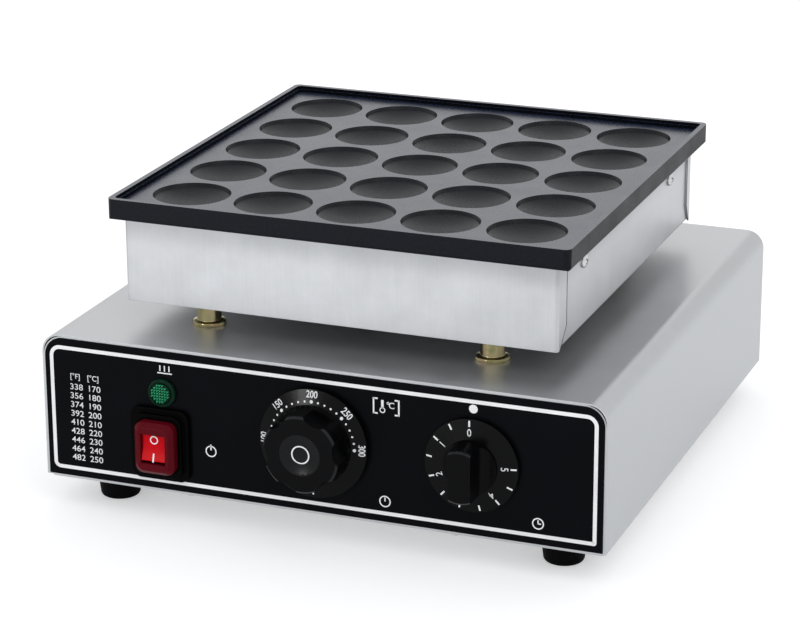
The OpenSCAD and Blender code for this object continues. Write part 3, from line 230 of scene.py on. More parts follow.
def brushed(name, colour, streaks, grain, mottle, roughness, depth, metal=1.0, under_plate_shade=None):
    """Brushed metal. Streaks are the noise frequencies along X, Y and Z. Handled sheet is a little
    less metallic, and a painted shade darkens the sheet upwards between the two heights given,
    for the shadow under a plate's overhang."""
    material, tree, shader, where = principled(name, Metallic=metal)
    group = put(tree, "ShaderNodeGroup", {"node_tree": brushing}, Vector=where, Streaks=streaks,
                Grain=grain, Mottle=mottle).outputs
    tone = group["Tone"]
    # painted shade: the sheet darkens towards the plate above it, for the shadow of the plate's
    # overhang
    if under_plate_shade:
        height = put(tree, "ShaderNodeSeparateXYZ", None, Vector=where).outputs["Z"]
        painted_shade = put(tree, "ShaderNodeMapRange", {"interpolation_type": "SMOOTHSTEP"}, Value=height,
                   From_Min=under_plate_shade[0], From_Max=under_plate_shade[1], To_Min=1.0, To_Max=SHADE_TONE)
        tone = times(tree, tone, painted_shade.outputs["Result"])
    surfaced(tree, shader, group, colour, tone, roughness, depth)
    return material


STEEL = (0.468, 0.48, 0.495, 1)
ALONG, ACROSS = 35, 2400
SHEET = {"grain": 0.16, "mottle": 0.2, "roughness": 0.36, "depth": 0.012 * MM, "metal": 0.78}
base_steel = brushed("base_steel", STEEL, (ALONG, ACROSS, ALONG), **SHEET)
base_shell = softened("base_shell", "base_cover", edge=0.25 * MM)
dress(base_shell, base_steel)
fix(base_shell, "cooker", "stainless", "base_shell")


# Front panel
# A folded stainless pan that closes the front of the cover. Its rounded top corners leave
# a dark slit beside the tighter bends of the cover.
PAN_EDGE = 0.2 * MM
panel_steel = brushed("panel_steel", STEEL, (ALONG, ACROSS, ACROSS), **SHEET)
front_panel = softened("front_panel", "front_plate", PAN_EDGE)
dress(front_panel, panel_steel)
fix(front_panel, "cooker", "stainless", "front_panel")


# Fascia
# A black film glued to the front panel, printed in white: a keyline round the edge, a dot
# over the timer, a table of plain numbers and small signs beside the controls.
BLOTCHES = 45.0
SKIN_SWING, BLOTCH_SWING = 0.08, 0.1
skin, given, gives = effect("moulded_skin", [("Vector", "Vector"), ("Fineness", "Float"),
                                             ("Grain", "Float")])
pore = noise(skin, given["Vector"], given["Fineness"], detail=3.0, roughness=0.55)
blotch = noise(skin, given["Vector"], BLOTCHES, detail=3.0, roughness=0.5)
skin.links.new(times(skin, swung(skin, pore, given["Grain"]), spread(skin, blotch, SKIN_SWING)),
               gives["Tone"])
skin.links.new(times(skin, spread(skin, pore, SKIN_SWING), spread(skin, blotch, BLOTCH_SWING)),
               gives["Roughness"])
skin.links.new(pore, gives["Height"])


def moulded(name, colour, roughness, fineness, depth, grain=0.5, **sockets):
    """Plastic, rubber, film or coating with a fine skin. Fineness is the noise frequency of the
    skin, grain its contrast and depth its height."""
    material, tree, shader, where = principled(name, **sockets)
    group = put(tree, "ShaderNodeGroup", {"node_tree": skin}, Vector=where, Fineness=fineness,
                Grain=grain).outputs
    surfaced(tree, shader, group, colour, group["Tone"], roughness, depth)
    return material


film = moulded("fascia_film", (0.0030, 0.0032, 0.0046, 1), roughness=0.34, fineness=2200.0,
               depth=0.004 * MM, Specular_IOR_Level=0.03)
fascia = softened("front_fascia", "fascia_film", edge=0.12 * MM)
dress(fascia, film)
fix(fascia, "cooker", "fascia", "front_fascia")

INK_T = 0.06 * MM
ink = moulded("white_ink", (0.90, 0.90, 0.91, 1), roughness=0.45, fineness=3000.0,
              depth=0.003 * MM)


def inked(obj):
    """Makes a flat mesh of the XY plane a film of ink that stands up in +Z."""
    only(obj)
    bpy.ops.object.mode_set(mode="EDIT")
    bpy.ops.mesh.select_all(action="SELECT")
    bpy.ops.mesh.normals_make_consistent(inside=False)
    bpy.ops.object.mode_set(mode="OBJECT")
    coat = obj.modifiers.new("film", "SOLIDIFY")
    coat.thickness = INK_T
    coat.offset = 1.0
    apply_all(obj)
    return obj


def placed(obj, matrix=Matrix()):
    """Moves a piece by a matrix and applies its place, turn and scale to its mesh."""
    bpy.context.view_layer.update()
    obj.matrix_world = matrix @ obj.matrix_world
    only(obj)
    bpy.ops.object.transform_apply(location=True, rotation=True, scale=True)
    return obj


def joined(pieces, name):
    """Joins pieces into one named piece."""
    only(pieces[0])
    for piece in pieces[1:]:
        piece.select_set(True)
    bpy.ops.object.join()
    pieces[0].name = name
    return pieces[0]


def flat_face(x, y, w, h):
    """Flat rectangle centred at x, y."""
    bpy.ops.mesh.primitive_plane_add(size=1, location=(x, y, 0))
    sheet = bpy.context.object
    sheet.scale = (w, h, 1)
    return placed(sheet)


def round_face(x, y, radius, points):
    """Flat disc centred at x, y."""
    bpy.ops.mesh.primitive_circle_add(vertices=points, radius=radius, fill_type="NGON",
                                      location=(x, y, 0))
    return placed(bpy.context.object)


def hollowed(obj, width):
    """Leaves only a border of the given width of a flat face."""
    only(obj)
    bpy.ops.object.mode_set(mode="EDIT")
    bpy.ops.mesh.select_all(action="SELECT")
    bpy.ops.mesh.inset(thickness=width, use_even_offset=True)
    bpy.ops.mesh.delete(type="FACE")
    bpy.ops.object.mode_set(mode="OBJECT")
    return obj


def bar(x, y, w, h):
    """Printed bar centred at x, y."""
    return inked(flat_face(x, y, w, h))


def disc(x, y, radius, points=40):
    """Printed round dot."""
    return inked(round_face(x, y, radius, points))


def ring(x, y, radius, width, points=56):
    """Printed ring by its outer radius."""
    return inked(hollowed(round_face(x, y, radius, points), width))


def pick_points(obj, wanted):
    """Opens a mesh in edit mode with only those points selected that wanted is true of."""
    bpy.ops.object.mode_set(mode="EDIT")
    bpy.ops.mesh.select_mode(type="VERT")
    bpy.ops.mesh.select_all(action="DESELECT")
    bpy.ops.object.mode_set(mode="OBJECT")
    for point in obj.data.vertices:
        point.select = wanted(point.co)
    bpy.ops.object.mode_set(mode="EDIT")


NEAR = 0.01 * MM
CORNER_STEPS = 10


def frame_line(left, foot, right, top, corners, width):
    """Printed rectangle. Corners are the radii from the lower left one on, against the clock."""
    line = flat_face((left + right) / 2, (foot + top) / 2, right - left, top - foot)
    places = ((left, foot, 0), (right, foot, 0), (right, top, 0), (left, top, 0))
    for place, corner in zip(places, corners):
        pick_points(line, lambda point: (point - Vector(place)).length < NEAR)
        bpy.ops.mesh.bevel(offset=corner, segments=CORNER_STEPS, affect="VERTICES")
        bpy.ops.object.mode_set(mode="OBJECT")
    return inked(hollowed(line, width))


FIGURE_SHARE = 0.7


def figures(text, x, y, size, weight=0.0, stretch=1.0):
    """Plain figures centred at x, y, as tall as size says. Weight thickens their strokes."""
    bpy.ops.object.text_add(location=(0, 0, 0))
    word = bpy.context.object
    word.data.body = text
    word.data.size = size / FIGURE_SHARE
    word.data.offset = weight
    word.data.align_x = "CENTER"
    word.data.align_y = "CENTER"
    only(word)
    bpy.ops.object.convert(target="MESH")
    word.scale = (stretch, 1, 1)
    word.location = (x, y, 0)
    return inked(placed(word))


def facing_user(x, y, z):
    """Stands what lies in the XY plane up on a point of the front, facing the user."""
    return Matrix.Translation((x, y, z)) @ Matrix.Rotation(math.radians(90), 4, "X")


# keyline and the dot over the timer
joint_at = {joint["name"]: Vector(joint["pos_m"]) for joint in frame["joints"]}
timer_at = joint_at["timer_turn"]
therm_at = joint_at["thermostat_turn"]
rocker_at = joint_at["rocker_tilt"]
KEY_LEFT, KEY_RIGHT = -163.6 * MM, 163.2 * MM
KEY_FOOT, KEY_TOP = 4.8 * MM, 79.8 * MM
KEY_CORNERS = (4 * MM, 1.6 * MM, 6.5 * MM, 6.5 * MM)
KEY_W = 2.2 * MM
DOT_UP, DOT_R = 74.5 * MM, 2.5 * MM
prints = [frame_line(KEY_LEFT, KEY_FOOT, KEY_RIGHT, KEY_TOP, KEY_CORNERS, KEY_W),
          disc(timer_at.x, DOT_UP, DOT_R)]

# table of degrees: Fahrenheit on the left, Celsius on the right
LEFT_COLUMN, RIGHT_COLUMN = -147.4 * MM, -136.3 * MM
LEFT_NUDGE, RIGHT_NUDGE = 0.6 * MM, 0.4 * MM
HEADING, FIRST_ROW = 62 * MM, 55.6 * MM
ROWS, ROW = 9, 5.38 * MM
FIRST_CELSIUS, CELSIUS_STEP = 170, 10
TABLE = {"size": 3.6 * MM, "weight": 0.02 * MM, "stretch": 1.1}
HEAD = {"size": 3.2 * MM, "weight": 0.02 * MM, "stretch": 0.94}
for row in range(ROWS):
    celsius = FIRST_CELSIUS + CELSIUS_STEP * row
    up = FIRST_ROW - row * ROW
    prints.append(figures(str(round(celsius * 1.8 + 32)), LEFT_COLUMN, up, **TABLE))
    prints.append(figures(str(celsius), RIGHT_COLUMN, up, **TABLE))
prints.append(figures("[\u00b0F]", LEFT_COLUMN - LEFT_NUDGE, HEADING, **HEAD))
prints.append(figures("[\u00b0C]", RIGHT_COLUMN - RIGHT_NUDGE, HEADING, **HEAD))

# thermometer in brackets, right of the thermostat
sign_x, sign_y = 42 * MM, 69 * MM
LINE = 0.9 * MM
BRACKET_X, BRACKET_H = 7.4 * MM, 9.4 * MM
HOOK_X, HOOK_Y, HOOK_W = 6.2 * MM, 4.3 * MM, 2.4 * MM
BULB_X, BULB_Y, BULB_R, BULB_LINE = -2.2 * MM, -2.2 * MM, 1.7 * MM, 0.6 * MM
STEM_Y, STEM_W, STEM_H = 1.4 * MM, 1.5 * MM, 4.6 * MM
DEGREE_X, DEGREE_Y, DEGREE_R, DEGREE_LINE = 1.1 * MM, 2.2 * MM, 0.8 * MM, 0.35 * MM
UNIT_X, UNIT_Y, UNIT_H, UNIT_WEIGHT = 3.2 * MM, 0.8 * MM, 3.6 * MM, 0.04 * MM
for side in (-1, 1):
    prints.append(bar(sign_x + side * BRACKET_X, sign_y, LINE, BRACKET_H))
    for end in (-1, 1):
        prints.append(bar(sign_x + side * HOOK_X, sign_y + end * HOOK_Y, HOOK_W, LINE))
prints.append(ring(sign_x + BULB_X, sign_y + BULB_Y, BULB_R, BULB_LINE, points=32))
prints.append(bar(sign_x + BULB_X, sign_y + STEM_Y, STEM_W, STEM_H))
prints.append(ring(sign_x + DEGREE_X, sign_y + DEGREE_Y, DEGREE_R, DEGREE_LINE, points=24))
prints.append(figures("C", sign_x + UNIT_X, sign_y + UNIT_Y, UNIT_H, UNIT_WEIGHT))

# power sign beside the switch: a ring with a bar across its top
SIGN_R, SIGN_LINE = 3.4 * MM, 0.7 * MM
POWER_Y, POWER_W, POWER_H = 2.4 * MM, 0.8 * MM, 3.4 * MM
sign_x, sign_y = -64 * MM, 28 * MM
prints.append(ring(sign_x, sign_y, SIGN_R, SIGN_LINE))
prints.append(bar(sign_x, sign_y + POWER_Y, POWER_W, POWER_H))

# heat sign above the lamp: three bars over a line
sign_x, sign_y = rocker_at.x + 3 * MM, 73.4 * MM
HOB_Y, HOB_W = -2.2 * MM, 9 * MM
RAY_Y, RAY_H, RAY_STEP = 0.6 * MM, 3.4 * MM, 2.8 * MM
prints.append(bar(sign_x, sign_y + HOB_Y, HOB_W, SIGN_LINE))
for step in (-1, 0, 1):
    prints.append(bar(sign_x + step * RAY_STEP, sign_y + RAY_Y, SIGN_LINE, RAY_H))

# dial sign under the thermostat and clock sign under the timer, with their hands
DIAL_X, CLOCK_X, LOW_SIGNS = 41 * MM, 130 * MM, 13 * MM
POINTER_Y, POINTER_H = 1.2 * MM, 2.4 * MM
MINUTE_Y, MINUTE_H = 1.0 * MM, 2.2 * MM
HOUR_X, HOUR_W = 0.8 * MM, 1.9 * MM
prints.append(ring(DIAL_X, LOW_SIGNS, SIGN_R, SIGN_LINE))
prints.append(bar(DIAL_X, LOW_SIGNS + POINTER_Y, SIGN_LINE, POINTER_H))
prints.append(ring(CLOCK_X, LOW_SIGNS, SIGN_R, SIGN_LINE))
prints.append(bar(CLOCK_X, LOW_SIGNS + MINUTE_Y, SIGN_LINE, MINUTE_H))
prints.append(bar(CLOCK_X + HOUR_X, LOW_SIGNS, HOUR_W, SIGN_LINE))

fascia_print = joined(prints, "fascia_print")
placed(fascia_print, facing_user(0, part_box("front_fascia")[0].y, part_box("base_shell")[0].z))
dress(fascia_print, ink)
fix(fascia_print, "cooker", "fascia")


# Rear panel
# A second folded stainless pan that closes the back of the cover, with punched vent slots
# and the hole for the cord gland.
rear_panel = softened("rear_panel", "rear_plate", PAN_EDGE)
dress(rear_panel, panel_steel)
fix(rear_panel, "cooker", "stainless", "rear_panel")


# Bottom plate and its screws
# A flat stainless sheet with punched slots that closes the base from below. Domed screws
# with crossed slots hold it to the lips of the cover.
bottom_plate = softened("bottom_plate", "bottom_sheet", PAN_EDGE)
dress(bottom_plate, base_steel)
fix(bottom_plate, "cooker", "stainless", "bottom_plate")

screw_steel = brushed("screw_steel", (0.58, 0.59, 0.60, 1), (900, 900, 900), grain=0.2,
                      mottle=0.2, roughness=0.28, depth=0.004 * MM)
CROSS_L, CROSS_W, CROSS_T = 4.2 * MM, 0.9 * MM, 2.4 * MM


def fix_screws(node, name, axis=None):
    """Domed screws of a CAD group, each with a cross sunk in the end that points along axis, or
    away from the middle of the part along X."""
    softened(node, name, edge=0.15 * MM)
    bpy.ops.object.mode_set(mode="EDIT")
    bpy.ops.mesh.select_all(action="SELECT")
    bpy.ops.mesh.separate(type="LOOSE")
    bpy.ops.object.mode_set(mode="OBJECT")
    screws = [screw for screw in bpy.context.scene.objects if screw.name.startswith(name)]
    for screw in screws:
        corners = [Vector(corner) for corner in screw.bound_box]
        centre = sum(corners, Vector()) / len(corners)
        outward = Vector(axis or (math.copysign(1, centre.x), 0, 0))
        head = centre + outward * max((corner - centre).dot(outward) for corner in corners)
        across = outward.orthogonal().normalized()
        cutters = []
        for side in (across, outward.cross(across)):
            bpy.ops.mesh.primitive_cube_add(size=1)
            cutter = bpy.context.object
            cutter.scale = (CROSS_L, CROSS_W, CROSS_T)
            turned = Matrix((side, outward.cross(side), outward)).transposed().to_4x4()
            cutters.append(placed(cutter, Matrix.Translation(head) @ turned))
        for cutter in cutters:
            cut = screw.modifiers.new("cross", "BOOLEAN")
            cut.object = cutter
            cut.solver = "EXACT"
        apply_all(screw)
        for cutter in cutters:
            bpy.data.objects.remove(cutter)
    group = joined(screws, name)
    dress(group, screw_steel)
    flattened(group)
    fix(group, "cooker", "screw_steel", node)


BELOW = (0, 0, -1)
fix_screws("bottom_screws", "bottom_plate_screws", BELOW)


# Feet
# Tapered feet moulded of black rubber. Each is held by a screw from below, with a nut on
# the bottom plate. The plain steel pieces inside get the finish of the screws.
foot_rubber = moulded("foot_rubber", (0.0018, 0.0018, 0.0019, 1), roughness=0.62, fineness=1500.0,
                      depth=0.02 * MM, Specular_IOR_Level=0.04)
feet = softened("rubber_feet", "feet", edge=0.7 * MM, steps=3)
dress(feet, foot_rubber)
fix(feet, "cooker", "rubber", "rubber_feet")
fix_screws("foot_screws", "feet_screws", BELOW)
for name in ("foot_nuts", "lamp_nut", "clamp_nuts", "thermostat_screws", "timer_screws",
             "thermostat_spindle", "timer_spindle", "clamp_studs", "element_clamps", "timer_body"):
    dress(nodes[name], screw_steel)


# Cord gland
# A gland moulded of hard black plastic, with a hexagon and a domed cap. Its nut holds it in
# the rear panel from inside. The bodies of the switch and the lamp are of the same plastic.
hard_black = moulded("hard_black", (0.0009, 0.0009, 0.0011, 1), roughness=0.40, fineness=1800.0,
                     depth=0.008 * MM, Specular_IOR_Level=0.025)
gland = softened("cord_gland", "gland", edge=0.5 * MM, steps=3)
dress(gland, hard_black)
fix(gland, "cooker", "switch_black", "cord_gland")
for name in ("gland_nut", "switch_body", "lamp_body"):
    dress(nodes[name], hard_black)


# Spacers
# Turned steel spacers with a knurled flange, plated and passivated yellow, on threaded
# tubes with nuts.
STRAW_GREEN = (0.36, 0.34, 0.15, 1)
STRAW = (0.52, 0.45, 0.24, 1)
STRAW_PINK = (0.54, 0.42, 0.24, 1)


def passivated(name, roughness):
    """Yellow passivation: straw colour that drifts to green and pink."""
    material, tree, shader, where = principled(name, Metallic=1.0)
    drift = noise(tree, where, 140.0, detail=2.0, roughness=0.5)
    ramp = put(tree, "ShaderNodeValToRGB", None, Fac=drift)
    stops = ramp.color_ramp.elements
    stops[0].position, stops[0].color = 0.35, STRAW_GREEN
    stops[1].position, stops[1].color = 0.65, STRAW_PINK
    stops.new(0.5).color = STRAW
    group = put(tree, "ShaderNodeGroup", {"node_tree": brushing}, Vector=where,
                Streaks=(300, 300, 4000), Grain=0.3, Mottle=0.3).outputs
    surfaced(tree, shader, group, ramp.outputs["Color"], group["Tone"], roughness, 0.004 * MM)
    return material


yellow_zinc = passivated("yellow_zinc", roughness=0.15)
spacers = softened("standoffs", "spacers", edge=0.3 * MM)
dress(spacers, yellow_zinc)
fix(spacers, "cooker", "zinc", "standoffs")
for name in ("standoff_tubes", "standoff_nuts", "switch_terminals", "terminal_screws",
             "earth_stud"):
    dress(nodes[name], yellow_zinc)

# knurls: a toothed band round each flange
FLANGE_R, FLANGE_T = 9.25 * MM, 2 * MM
TEETH, TOOTH = 46, 0.45 * MM
TOOTH_R = FLANGE_R + TOOTH
BAND_T = 0.75 * FLANGE_T
bpy.ops.object.select_all(action="DESELECT")
bpy.ops.mesh.primitive_cylinder_add(vertices=2 * TEETH, radius=TOOTH_R, depth=BAND_T)
knurl = bpy.context.object
pick_points(knurl, lambda point: round(math.atan2(point.y, point.x) / math.pi * TEETH) % 2 == 1)
root = FLANGE_R / TOOTH_R
bpy.ops.transform.resize(value=(root, root, 1), center_override=(0, 0, 0))
bpy.ops.object.mode_set(mode="OBJECT")
spacer_low, spacer_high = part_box("standoffs")
knurls = []
for x in (spacer_low.x + FLANGE_R, spacer_high.x - FLANGE_R):
    for y in (spacer_low.y + FLANGE_R, spacer_high.y - FLANGE_R):
        band = bpy.data.objects.new("knurl_copy", knurl.data.copy())
        bpy.context.scene.collection.objects.link(band)
        knurls.append(placed(band, Matrix.Translation((x, y, spacer_low.z + FLANGE_T / 2))))
bpy.data.objects.remove(knurl)
knurled = joined(knurls, "spacer_knurls")
dress(knurled, yellow_zinc)
fix(knurled, "cooker", "zinc")


# Heater box
# A folded tray with front and rear sheets that wrap onto its sides, of stainless sheet
# brushed upright, with a fibre mat on its floor. Painted shade darkens it under the plate,
# for the shadow of the plate's overhang.
# heights of the painted shade under the plate
SHADE_FROM, SHADE_TO = 17 * MM, 2 * MM
box_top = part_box("heater_front")[1].z
box_steel = brushed("box_steel", (0.51, 0.52, 0.535, 1), (1500, 1500, 30), grain=0.16, mottle=0.3,
                    roughness=0.36, depth=0.01 * MM, metal=0.85,
                    under_plate_shade=(box_top - SHADE_FROM, box_top - SHADE_TO))
for node, name in (("heater_tray", "box_tray"), ("heater_front", "box_front"),
                   ("heater_back", "box_rear")):
    piece = softened(node, name, edge=0.22 * MM)
    dress(piece, box_steel)
    fix(piece, "cooker", "stainless", node)

# painted shadow: dark strips laid on the sides of the tray where the wrapped flanges end, for the
# shadow in the gaps there
seam_shadow_paint = moulded("seam_shadow", (0.010, 0.010, 0.011, 1), roughness=0.6, fineness=1500.0,
                    depth=0.005 * MM, Specular_IOR_Level=0.1)
SEAM = 0.7 * MM
SLANT, TIP = 12 * MM, 3.4 * MM
seams = []
for node, ahead in (("heater_front", 1), ("heater_back", -1)):
    low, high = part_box(node)
    reach, tall = high.y - low.y, high.z - low.z
    rise = math.atan2(SLANT, reach - TIP)
    for side in (-1, 1):
        along = ahead * side
        slant = bar(0, 0, math.hypot(SLANT, reach - TIP), SEAM)
        placed(slant, Matrix.Translation((along * (reach + TIP) / 2, SLANT / 2, 0))
               @ Matrix.Rotation(along * rise, 4, "Z"))
        upright = bar(along * (reach - SEAM / 2), (tall + SLANT) / 2, SEAM, tall - SLANT)
        corner = (high.x if side > 0 else low.x, low.y if ahead > 0 else high.y, low.z)
        turn = Matrix(((0, 0, side), (side, 0, 0), (0, 1, 0))).to_4x4()
        seams.append(placed(joined([upright, slant], "seam"), Matrix.Translation(corner) @ turn))
box_seams = joined(seams, "box_seams")
dress(box_seams, seam_shadow_paint)
fix(box_seams, "cooker", "stainless")

mat_fibre = moulded("mat_fibre", (0.78, 0.77, 0.73, 1), roughness=0.9, fineness=700.0,
                    depth=0.3 * MM)
dress(nodes["insulation_blanket"], mat_fibre)


# Baking plate
# Cast aluminium with a dark non-stick coating: a stepped rim round a grid of cups, screwed
# to the box from its sides. The coating is rubbed thin along the edges, and the light grey
# on those edges and on the lips of the cups is also a painted highlight.
plate = softened("baking_plate", "cast_plate", edge=0.5 * MM, steps=3)
coating = moulded("coating", (0.0115, 0.0170, 0.0370, 1), roughness=0.28, fineness=700.0,
                  depth=0.006 * MM, grain=0.6, Specular_IOR_Level=0.54)
cast_coating = moulded("cast_coating", (0.0032, 0.0044, 0.0080, 1), roughness=0.42, fineness=560.0,
                       depth=0.14 * MM, grain=2.2, Specular_IOR_Level=0.12)
# light grey for the edges: rubbed coating and painted highlight
worn_coating = moulded("worn_coating", (0.17, 0.175, 0.19, 1), roughness=0.45, fineness=900.0,
                       depth=0.02 * MM, Specular_IOR_Level=0.3)
cup_coating = moulded("cup_coating", (0.0065, 0.0078, 0.0110, 1), roughness=0.30, fineness=950.0,
                      depth=0.15 * MM, grain=3.4, Specular_IOR_Level=0.18)
rim_coating = moulded("rim_coating", (0.0030, 0.0040, 0.0065, 1), roughness=0.80, fineness=560.0,
                      depth=0.08 * MM, grain=2.0, Specular_IOR_Level=0.04)
dress(plate, coating, cast_coating, worn_coating, cup_coating, rim_coating)
CAST, WORN_AND_HIGHLIGHT, CUP, RIM = 1, 2, 3, 4
RIM_H, RIM_W = 3.6 * MM, 3.2 * MM
LEDGE_H, LEDGE_W = 1.8 * MM, 1.4 * MM
LEDGE_EDGE, RUBBED, OUTER = 0.55 * MM, 1.3 * MM, 2.2 * MM
LIP, SUNK = 0.03 * MM, 0.4 * MM
UPRIGHT, STEEP, FLAT, LIP_FLAT = 0.25, 0.6, 0.95, 0.96
plate_low, plate_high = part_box("baking_plate")
plate_mid = (plate_low + plate_high) / 2
half = (plate_high.x - plate_low.x) / 2
ledge = half - RIM_W - LEDGE_W
level = plate_high.z - RIM_H
# edges of the rim and the ledge and the lips of the cups get the light grey: rubbed wear and
# painted highlight
for face in plate.data.polygons:
    out = max(abs(face.center.x - plate_mid.x), abs(face.center.y - plate_mid.y))
    up, lean = face.center.z - level, face.normal.z
    sloped = UPRIGHT < lean < FLAT
    if out > half - RUBBED and sloped:
        face.material_index = WORN_AND_HIGHLIGHT
    elif out > half - OUTER and lean < STEEP:
        face.material_index = CAST
    elif up < -SUNK:
        face.material_index = CUP
    elif up < -LIP and lean < LIP_FLAT:
        face.material_index = WORN_AND_HIGHLIGHT
    elif abs(out - ledge) < LEDGE_EDGE and sloped and up > LEDGE_H / 2:
        face.material_index = WORN_AND_HIGHLIGHT
    elif up > LIP and lean < STEEP:
        face.material_index = RIM
fix(plate, "cooker", "coated_plate", "baking_plate")
fix_screws("plate_screws", "side_screws")


# Heating element, sensor and wiring
# Inside the box and the base: a steel-sheathed element, a copper bulb and capillary, a
# ceramic block and insulated wires.
element_steel = brushed("element_steel", (0.30, 0.27, 0.24, 1), (600, 600, 600), grain=0.4,
                        mottle=0.5, roughness=0.45, depth=0.01 * MM)
dress(nodes["heating_element"], element_steel)
copper = brushed("copper", (0.68, 0.38, 0.22, 1), (500, 500, 500), grain=0.3, mottle=0.3,
                 roughness=0.3, depth=0.005 * MM)
for name in ("thermostat_bulb", "capillary_tube"):
    dress(nodes[name], copper)
unglazed = moulded("unglazed_ceramic", (0.80, 0.77, 0.70, 1), roughness=0.7, fineness=900.0,
                   depth=0.03 * MM)
for name in ("terminal_block", "thermostat_body"):
    dress(nodes[name], unglazed)
sleeve = moulded("silicone_sleeve", (0.72, 0.69, 0.60, 1), roughness=0.5, fineness=1500.0,
                 depth=0.01 * MM)
dress(nodes["heater_leads"], sleeve)
red_sleeve = moulded("red_sleeve", (0.42, 0.03, 0.025, 1), roughness=0.45, fineness=1500.0,
                     depth=0.01 * MM)
dress(nodes["control_wires"], red_sleeve)


# Thermostat knob
# A moulded black knob pushed onto its spindle: a numbered skirt, a round collar and a lobed
# grip with a dished front. Its print turns with it.
KNOB_BLACK = (0.0014, 0.0015, 0.0019, 1)
KNOB_SKIN = {"fineness": 2600.0, "depth": 0.006 * MM}
knob_black = moulded("knob_black", KNOB_BLACK, 0.20, **KNOB_SKIN, Specular_IOR_Level=0.085)
therm_knob = softened("thermostat_knob", "thermostat_grip", edge=0.6 * MM, steps=3)
# painted sheen: the front dish gets a lighter black with a stronger reflection than the grip round
# it, so the dish shows
dish_black = moulded("dish_black", (0.0045, 0.0047, 0.0055, 1), 0.26, **KNOB_SKIN,
                     Specular_IOR_Level=0.13)
grip_black = moulded("grip_black", KNOB_BLACK, 0.40, **KNOB_SKIN, Specular_IOR_Level=0.06)
# painted highlight: a lighter black on the rounded front edges of the grips, for the light lines
# along them
rubbed_black = moulded("rubbed_black", (0.016, 0.0165, 0.019, 1), 0.40, **KNOB_SKIN,
                       Specular_IOR_Level=0.1)
dress(therm_knob, knob_black, grip_black, rubbed_black, dish_black)
GRIP, HIGHLIGHT_EDGE, DISH = 1, 2, 3
DISH_R, DISH_DEEP, COLLAR_R = 12.6 * MM, 6 * MM, 23.2 * MM
EDGE_DEEP = 0.9 * MM
FRONT_FLAT, FRONT_SLOPED, FRONT_STEEP = -0.95, -0.5, -0.3


def off_axis(obj, face, axis):
    """Distance of a face's farthest corner from a knob's axis."""
    corners = [obj.data.vertices[index].co for index in face.vertices]
    return max(math.hypot(corner.x - axis.x, corner.z - axis.z) for corner in corners)


def front_edge(face, front):
    """True on the rounded edge of a grip's front."""
    return face.center.y < front + EDGE_DEEP and FRONT_FLAT < face.normal.y < FRONT_STEEP


front_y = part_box("thermostat_knob")[0].y
for face in therm_knob.data.polygons:
    far = off_axis(therm_knob, face, therm_at)
    facing = face.normal.y < FRONT_SLOPED
    if far < DISH_R and facing and face.center.y < front_y + DISH_DEEP:
        face.material_index = DISH
    # the rounded front edge of the grip gets the painted highlight
    elif front_edge(face, front_y):
        face.material_index = HIGHLIGHT_EDGE
    elif far < COLLAR_R:
        face.material_index = GRIP
fix(therm_knob, "thermostat_control", "knob_black", "thermostat_knob")

AHEAD = 100 * MM


def on_dial(mark, knob, centre, angle, radius):
    """Lays a mark on a knob's skirt, at an angle clockwise from the top, its top outward."""
    turn = Matrix.Rotation(math.radians(-angle), 4, "Z")
    spot = facing_user(*centre) @ turn @ Vector((0, radius, 0))
    _, point, normal, _ = knob.ray_cast((spot.x, spot.y - AHEAD, spot.z), (0, 1, 0))
    lean = Vector((0, -1, 0)).rotation_difference(normal).to_matrix().to_4x4()
    return placed(mark, Matrix.Translation(point) @ lean @ facing_user(0, 0, 0) @ turn)


def dial_marks(knob, centre, marks, name, body):
    """Joins the marks of a dial into its print. A mark is a piece, an angle and a radius."""
    laid = [on_dial(mark, knob, centre, angle, radius) for mark, angle, radius in marks]
    dial = joined(laid, name)
    dress(dial, ink)
    fix(dial, body, "knob_black")


# a dot for every ten degrees, numbered at every fifth, and a bar at the off position
TURN_PER_DOT, DEGREES_PER_DOT, MIDDLE = 9, 10, 200
SMALL_DOT, LARGE_DOT, DOT_POINTS = 0.6 * MM, 0.95 * MM, 20
DOTS_R, NUMBERS_R, OFF_R = 25.3 * MM, 29.1 * MM, 28.5 * MM
OFF_W, OFF_H = 0.9 * MM, 3 * MM
DIAL_FIGURES = {"size": 3.9 * MM, "weight": 0.09 * MM, "stretch": 0.82}
marks = []
for count in range(-10, 11):
    angle, numbered = count * TURN_PER_DOT, count % 5 == 0
    dot = disc(0, 0, LARGE_DOT if numbered else SMALL_DOT, DOT_POINTS)
    marks.append((dot, angle, DOTS_R))
    if numbered:
        degrees = str(MIDDLE + DEGREES_PER_DOT * count)
        marks.append((figures(degrees, 0, 0, **DIAL_FIGURES), angle, NUMBERS_R))
marks.append((bar(0, 0, OFF_W, OFF_H), 180, OFF_R))
dial_marks(therm_knob, therm_at, marks, "thermostat_print", "thermostat_control")

BADGE_R, BADGE_LINE, BADGE_LIFT = 5.4 * MM, 0.8 * MM, 0.32 * MM
badge = on_dial(ring(0, 0, BADGE_R, BADGE_LINE), therm_knob, therm_at, 0, 0)
placed(badge, Matrix.Translation((0, -BADGE_LIFT, 0)))
badge.name = "thermostat_badge"
dress(badge, ink)
fix(badge, "thermostat_control", "knob_black")


# Timer knob
# A moulded black knob pushed onto its spindle, with a numbered skirt and a grip bar across
# a round boss. Its print turns with it.
timer_knob = softened("timer_knob", "timer_grip", edge=0.6 * MM, steps=3)
dress(timer_knob, knob_black, grip_black, rubbed_black)
BOSS_R = 16.5 * MM
front_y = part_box("timer_knob")[0].y
for face in timer_knob.data.polygons:
    # the rounded front edge of the bar gets the painted highlight
    if front_edge(face, front_y):
        face.material_index = HIGHLIGHT_EDGE
    elif off_axis(timer_knob, face, timer_at) < BOSS_R:
        face.material_index = GRIP
fix(timer_knob, "timer_control", "knob_black", "timer_knob")

